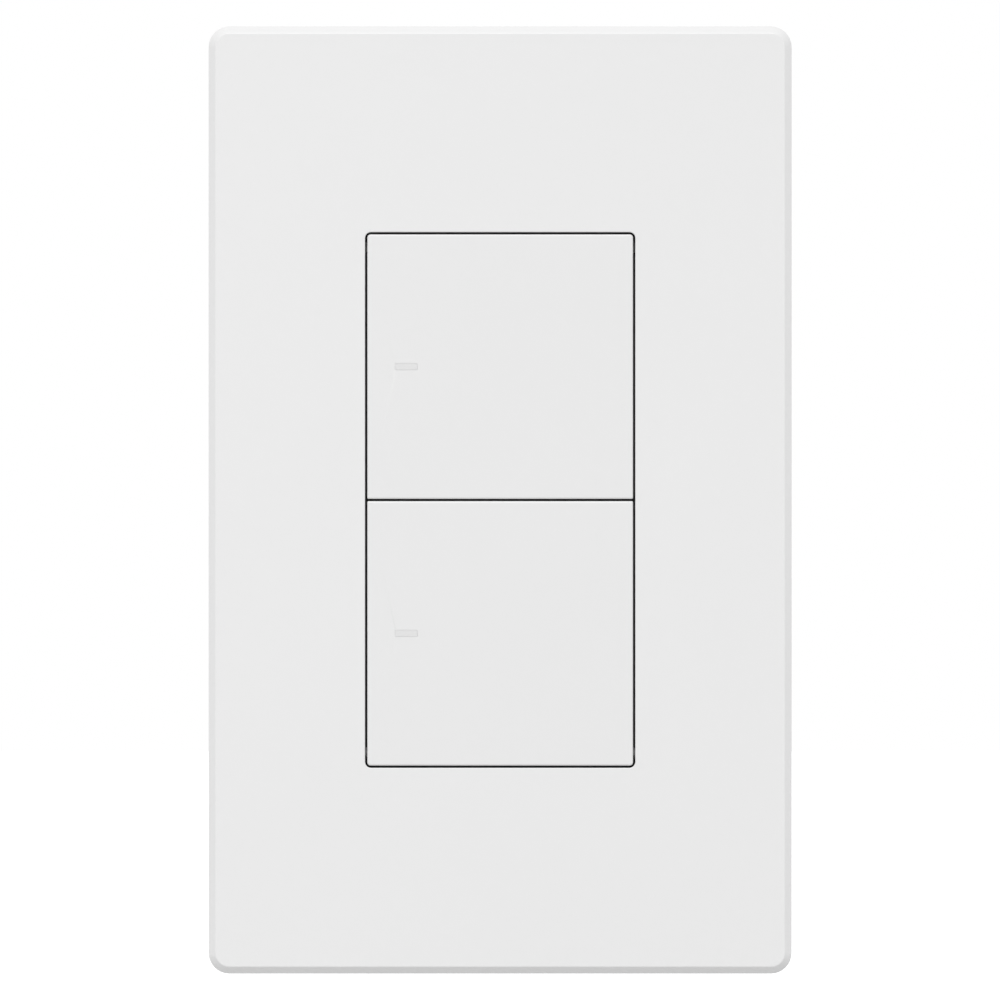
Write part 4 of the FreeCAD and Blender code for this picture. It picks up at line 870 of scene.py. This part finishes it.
def build_screw(name, kind, size):
    """One screw with its slot, and with a cross recess where its kind has one."""
    mesh = bmesh.new()
    skin(mesh, screw_rings(kind, size))
    screw = raw_object(name, mesh)
    head, thick = kind.head * MM, kind.thick * MM
    half, deep, reach = size.slot / 2, thick * SLOT_DEPTH, head * kind.slot_reach
    cut = bmesh.new()
    brick(cut, (-half, half), (-MM, deep), (-reach, reach))
    combine(screw, "DIFFERENCE", "slot", cut)
    if kind.cross:
        arm, narrow = head * RECESS_ARM, RECESS_WIDTH * half
        for wide, high in ((arm, narrow), (narrow, arm)):
            foot = (wide * RECESS_TAPER, high) if wide == arm else (wide, high * RECESS_TAPER)
            levels = ((wide, high, RECESS_START), (*foot, deep * RECESS_DEPTH))
            cut = bmesh.new()
            skin(cut, [[(x * far, y, z * near) for x, z in SQUARE] for far, near, y in levels])
            combine(screw, "DIFFERENCE", "cross", cut)
    shade_screw(screw.data, thick)
    return screw


def build_fasteners(node, kind, size, tree):
    """All screws of one node: one screw mesh set out on points by the tree."""
    screw = build_screw(node + "_shape", kind, size)
    low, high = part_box(node)
    spots = kind.spots(low, high, kind.head * MM)
    data = bpy.data.meshes.new(node + "_spots")
    data.from_pydata([spot for spot, turn in spots], [], [])
    turns = data.attributes.new("turn", "FLOAT_VECTOR", "POINT")
    for index, (spot, turn) in enumerate(spots):
        turns.data[index].vector = turn
    piece = put_in_scene(node + "_turned", data)
    step = piece.modifiers.new("fasteners", "NODES")
    step.node_group = tree
    values = {"Fastener": screw, "Size": 1.0, "Finish": MATERIALS[kind.finish]}
    for socket in tree.interface.items_tree:
        if socket.name in values:
            step[socket.identifier] = values[socket.name]
    settle(piece)
    bpy.data.objects.remove(screw)
    finish_piece(piece, kind.finish, "housing", node)


def front_pair(low, high, head):
    """Two fasteners above and below, with their heads to the front."""
    return [((0.0, low.y, up * (high.z - head)), (0.0, math.radians(90), 0.0)) for up in SIDES]


def rear_four(low, high, head):
    """Four fasteners at the corners, with their heads to the back."""
    spots = []
    for index, (across, up) in enumerate(CORNERS):
        turn = (0.0, math.radians(20 + 37 * index), math.pi)
        spots.append(((across * (high.x - head), high.y, up * (high.z - head)), turn))
    return spots


def rear_one(low, high, head):
    """One fastener with its head to the back."""
    middle = (low + high) / 2
    return [((middle.x, high.y, middle.z), (0.0, math.radians(25), math.pi))]


def side_four(low, high, head):
    """Four fasteners that point inwards from both sides."""
    middle = (low.y + high.y) / 2
    spots = []
    for index, (across, up) in enumerate(CORNERS):
        turn = (0.0, math.radians(15 + 50 * index), across * math.radians(90))
        spots.append(((across * high.x, middle, up * (high.z - head)), turn))
    return spots


FASTENERS = {
    "box_screws": Fastener(3.3, 2.0, 1.75, 3.6, 23.6, 0.794, front_pair),
    "bracket_screws": Fastener(2.8, 1.6, 1.7, 1.6, 6.9, 0.794, front_pair, cross=False),
    "housing_screws": Fastener(1.9, 1.5, 1.1, 1.5, 12.9, 0.8, rear_four, slot_reach=0.56),
    "ground_screw": Fastener(3.4, 2.4, 2.0, 2.4, 3.6, 0.6, rear_one, "green", "screw_green"),
    "terminal_screws": Fastener(
        3.5, 2.0, 1.75, 2.0, 6.0, 0.6, side_four, "brass", "contact_brass"
    ),
}


# The housing
PANEL_X, PANEL_Z, PANEL_CORNER, PANEL_DEEP = 11.5 * MM, 17.0 * MM, 1.2 * MM, 0.5 * MM
GAUGE_X, GAUGE_Z, GAUGE_CORNER, GAUGE_PLACE = 5.5 * MM, 0.7 * MM, 0.69 * MM, -23.0 * MM
PORT_X, PORT_ROWS = 17.6 * MM, (13.8 * MM, 7.2 * MM, -7.2 * MM, -13.8 * MM)
FUNNEL = ((1.12 * MM, -0.65 * MM), (1.95 * MM, 0.18 * MM))  # radius, from the rear face
FUNNEL_POINTS = 42
SEAM_PLACE, SEAM_DEEP = 8.0 * MM, 0.22 * MM
SEAM_MOUTH, SEAM_FLOOR = 0.3 * MM, 0.12 * MM  # half widths
SEAM_CORNER = 3.0 * MM
HOUSING_EDGE = 0.2 * MM


def build_housing():
    """The rear housing with soft edges, wire funnels, a strip gauge and a bare panel."""
    housing = copy_of("rear_housing", "housing_shell")
    low, high = HOUSING_LOW, HOUSING_HIGH
    inside, outside = high.y - PANEL_DEEP, high.y + PANEL_DEEP

    cut = bmesh.new()
    panel = [rounded(PANEL_X, PANEL_Z, PANEL_CORNER, y, steps=6) for y in (inside, outside)]
    skin(cut, panel)
    combine(housing, "DIFFERENCE", "panel", cut)

    cut = bmesh.new()
    spot = (0.0, GAUGE_PLACE)
    gauge = [rounded(GAUGE_X, GAUGE_Z, GAUGE_CORNER, y, spot, 6) for y in (inside, outside)]
    skin(cut, gauge)
    combine(housing, "DIFFERENCE", "strip_gauge", cut)

    cut = bmesh.new()
    for across in SIDES:
        for up in PORT_ROWS:
            spot = (across * PORT_X, up)
            skin(cut, [circle_at(high.y + y, radius, FUNNEL_POINTS, spot) for radius, y in FUNNEL])
    combine(housing, "DIFFERENCE", "funnels", cut)

    cut = bmesh.new()
    seam = low.y + SEAM_PLACE
    wide, tight = (MM, SEAM_CORNER + MM), (-SEAM_DEEP, SEAM_CORNER - SEAM_DEEP)
    rings = []
    for (reach, corner), aside in (
        (wide, SEAM_MOUTH), (tight, SEAM_FLOOR), (tight, -SEAM_FLOOR), (wide, -SEAM_MOUTH)
    ):
        rings.append(rounded(high.x + reach, high.z + reach, corner, seam + aside))
    skin(cut, rings, closed=True)
    combine(housing, "DIFFERENCE", "parting_line", cut)
    soften(housing, HOUSING_EDGE)
    polish(housing)
    finish_piece(housing, "housing", "housing", "rear_housing")


# Solids that are shown as a copy with soft edges: piece, slot, edge in millimetres, finish
SOFT_COPIES = {
    "mounting_strap": ("strap", "strap_zinc", 0.12, "zinc"),
    "plate_bracket": ("bracket", "bracket_white", 0.15, "bracket"),
    "switch_frame": ("frame", "frame_grey", 0.1, "frame"),
    "screw_retainers": ("washers", "fibre_red", 0.05, "fibre"),
    "relay_upper": ("relay_case_upper", "relay_blue", 0.35, "relay"),
    "relay_lower": ("relay_case_lower", "relay_blue", 0.35, "relay"),
    "transformer": ("transformer_core", "ferrite_grey", 0.3, "ferrite"),
    "filter_capacitor": ("film_case", "film_yellow", 0.3, "film"),
    "radio_module": ("radio_shield", "shield_tin", 0.2, "tin"),
    "board_header": ("header_block", "header_black", 0.15, "header"),
    "board_spacers": ("spacers", "spacer_nylon", 0.12, "nylon"),
    "tact_switch_upper": ("push_switch_upper", "tact_black", 0.15, "tact"),
    "tact_switch_lower": ("push_switch_lower", "tact_black", 0.15, "tact"),
    **{
        "terminal_" + wire: ("contact_" + wire, "contact_brass", 0.08, "brass")
        for wire in ("line", "neutral", "load_upper", "load_lower")
    },
    "wire_clamps": ("clamps", "clamp_steel", 0.1, "nickel"),
}


# The stage
SENSOR = 36.0
OUTLINE_DEPTH = 0.9 * MM  # the plate's outline lies this far behind its face
WHITE = (1.0, 1.0, 1.0, 1.0)
FLOOR_HALF = 3.0
FLOOR_COLOURS = (0.64, 0.64, 0.64), (0.66, 0.66, 0.66)
GLOW_DISTANCE, GLOW_STRENGTH = (0.15, 0.7), (0.25, 0.7)
LAMPS = {  # place, width and the setting that holds the power
    "main_lamp": ((-0.2, -4.2, 4.3), 3.6, "key"),
    "side_lamp": ((1.2, -0.2, 0.0), 0.5, "side"),
    "fill_lamp": ((-0.28, -0.45, 0.0), 0.25, "fill"),
}


def camera_sees(tree):
    """One for what the camera sees itself, in gloss and through clear pieces."""
    path = tree.nodes.new("ShaderNodeLightPath")
    total = path.outputs["Is Camera Ray"]
    for name in ("Is Glossy Ray", "Is Transmission Ray"):
        both = {0: total, 1: path.outputs[name]}
        total = add_node(tree, "ShaderNodeMath", both, operation="MAXIMUM").outputs["Value"]
    return total


def build_world(level):
    """Even surroundings that look white to the camera."""
    world = bpy.data.worlds.new("studio")
    bpy.context.scene.world = world
    world.use_nodes = True
    tree = world.node_tree
    strength = map_range(tree, camera_sees(tree), (0.0, 1.0), (level, 1.0))
    fill(tree, tree.nodes["Background"], {"Color": WHITE, "Strength": strength})


def floor_material():
    """Pale near the switch, where it keeps shadows, and as white as the surroundings beyond."""
    material, tree, shader, place = new_material("pale_floor")
    vary_colour(tree, shader, noise(tree, place, 3.0, 2.0), *FLOOR_COLOURS)
    away = add_node(tree, "ShaderNodeVectorMath", {0: place}, operation="LENGTH")
    reach = map_range(tree, away.outputs["Value"], GLOW_DISTANCE, GLOW_STRENGTH)
    seen = {0: camera_sees(tree), 1: reach}
    glow = add_node(tree, "ShaderNodeMath", seen, operation="MULTIPLY").outputs["Value"]
    fill(tree, shader, {"Roughness": 0.9, "Specular IOR Level": 0.0})
    fill(tree, shader, {"Emission Color": WHITE, "Emission Strength": glow})
    return material


def build_floor(height):
    """A wide floor below the switch."""
    mesh = bmesh.new()
    spots = [(x * FLOOR_HALF, y * FLOOR_HALF, height) for x, y in SQUARE]
    mesh.faces.new([mesh.verts.new(spot) for spot in spots])
    data = bpy.data.meshes.new("floor")
    mesh.to_mesh(data)
    mesh.free()
    data.materials.append(floor_material())
    put_in_scene("floor", data)


def build_lamp(name, place, width, power):
    """A soft square lamp aimed at the switch."""
    data = bpy.data.lights.new(name, "AREA")
    data.shape = "SQUARE"
    data.size = width
    data.energy = power
    lamp = put_in_scene(name, data)
    lamp.location = place
    lamp.visible_camera = False
    lamp.rotation_euler = (-Vector(place)).to_track_quat("-Z", "Y").to_euler()


def build_camera(size):
    """The camera straight in front of the switch, with a long lens."""
    data = bpy.data.cameras.new("front_camera")
    data.sensor_width = SENSOR
    data.sensor_fit = "HORIZONTAL"
    data.lens = size.lens
    data.clip_start = 0.01
    data.dof.use_dof = False
    camera = put_in_scene("front_camera", data)
    distance = size.view_half * 2 * size.lens / SENSOR
    camera.location = (-size.aside, PLATE_LOW.y + OUTLINE_DEPTH - distance, 0.0)
    camera.rotation_euler = (math.radians(90), 0.0, 0.0)
    bpy.context.scene.camera = camera


# Operators
class WALLSWITCH_OT_finishes(bpy.types.Operator):
    """Make the materials and give them to the solids that are shown as they are"""

    bl_idname = "wallswitch.finishes"
    bl_label = "Finishes"

    def execute(self, context):
        make_materials(context.scene.wallswitch_colours)
        for node, finish in NODE_FINISH.items():
            item = frame["nodes"][node]
            item.data.materials.clear()
            item.data.materials.append(MATERIALS[finish])
        return {"FINISHED"}


class WALLSWITCH_OT_stage(bpy.types.Operator):
    """Set up the camera, the floor and the light"""

    bl_idname = "wallswitch.stage"
    bl_label = "Stage"

    def execute(self, context):
        size = context.scene.wallswitch_stage
        build_camera(size)
        build_world(size.world)
        build_floor(PLATE_LOW.z - size.floor_drop)
        for name, (place, width, power) in LAMPS.items():
            build_lamp(name, place, width, getattr(size, power))
        context.scene.view_settings.view_transform = "Standard"
        return {"FINISHED"}


class WALLSWITCH_OT_plate(bpy.types.Operator):
    """Build the wall plate"""

    bl_idname = "wallswitch.plate"
    bl_label = "Wall plate"

    def execute(self, context):
        build_plate(context.scene.wallswitch_plate)
        return {"FINISHED"}


class WALLSWITCH_OT_buttons(bpy.types.Operator):
    """Build both buttons and their indicator bars"""

    bl_idname = "wallswitch.buttons"
    bl_label = "Buttons"

    def execute(self, context):
        size = context.scene.wallswitch_buttons
        for level, up in (("upper", 1), ("lower", -1)):
            body = level + "_button"
            build_button("cap_" + level, size, up, body, "button_" + level)
            node = "indicator_lens_" + level
            build_indicator("indicator_bar_" + level, size, up, body, node)
        return {"FINISHED"}


class WALLSWITCH_OT_fasteners(bpy.types.Operator):
    """Build all the screws, with their threads and slots"""

    bl_idname = "wallswitch.fasteners"
    bl_label = "Fasteners"

    def execute(self, context):
        tree = fastener_tree()
        for node, kind in FASTENERS.items():
            build_fasteners(node, kind, context.scene.wallswitch_fasteners, tree)
        return {"FINISHED"}


class WALLSWITCH_OT_housing(bpy.types.Operator):
    """Build the rear housing"""

    bl_idname = "wallswitch.housing"
    bl_label = "Rear housing"

    def execute(self, context):
        build_housing()
        return {"FINISHED"}


class WALLSWITCH_OT_inner_parts(bpy.types.Operator):
    """Give the strap, the frames and the parts inside their soft edges"""

    bl_idname = "wallswitch.inner_parts"
    bl_label = "Strap, frames and inner parts"

    def execute(self, context):
        for node, (name, slot, width, finish) in SOFT_COPIES.items():
            part = copy_of(node, name)
            soften(part, width * MM)
            polish(part)
            finish_piece(part, finish, "housing", node)
        return {"FINISHED"}


class WALLSWITCH_PT_panel(bpy.types.Panel):
    """Buttons that build the switch, and its sizes and colours"""

    bl_idname = "WALLSWITCH_PT_panel"
    bl_label = "Wall Switch"
    bl_space_type = "VIEW_3D"
    bl_region_type = "UI"
    bl_category = "Wall Switch"

    def draw(self, context):
        for step in STEPS:
            self.layout.operator(step.bl_idname)
        for group in SETTINGS:
            settings = getattr(context.scene, group)
            for name in settings.bl_rna.properties.keys():
                if name not in ("rna_type", "name"):
                    self.layout.prop(settings, name)


STEPS = (
    WALLSWITCH_OT_stage,
    WALLSWITCH_OT_finishes,
    WALLSWITCH_OT_plate,
    WALLSWITCH_OT_buttons,
    WALLSWITCH_OT_fasteners,
    WALLSWITCH_OT_housing,
    WALLSWITCH_OT_inner_parts,
)
SETTINGS = {
    "wallswitch_plate": SwitchPlateSizes,
    "wallswitch_buttons": SwitchButtonSizes,
    "wallswitch_fasteners": SwitchFastenerSizes,
    "wallswitch_colours": SwitchColours,
    "wallswitch_stage": SwitchStageSizes,
}


def register():
    for group in SETTINGS.values():
        bpy.utils.register_class(group)
    for step in STEPS:
        bpy.utils.register_class(step)
    bpy.utils.register_class(WALLSWITCH_PT_panel)
    for name, group in SETTINGS.items():
        setattr(bpy.types.Scene, name, bpy.props.PointerProperty(type=group))


def unregister():
    for name in SETTINGS:
        delattr(bpy.types.Scene, name)
    bpy.utils.unregister_class(WALLSWITCH_PT_panel)
    for step in reversed(STEPS):
        bpy.utils.unregister_class(step)
    for group in reversed(SETTINGS.values()):
        bpy.utils.unregister_class(group)


def main():
    register()
    for step in STEPS:
        package, name = step.bl_idname.split(".")
        getattr(getattr(bpy.ops, package), name)()


if __name__ == "__main__":
    main()
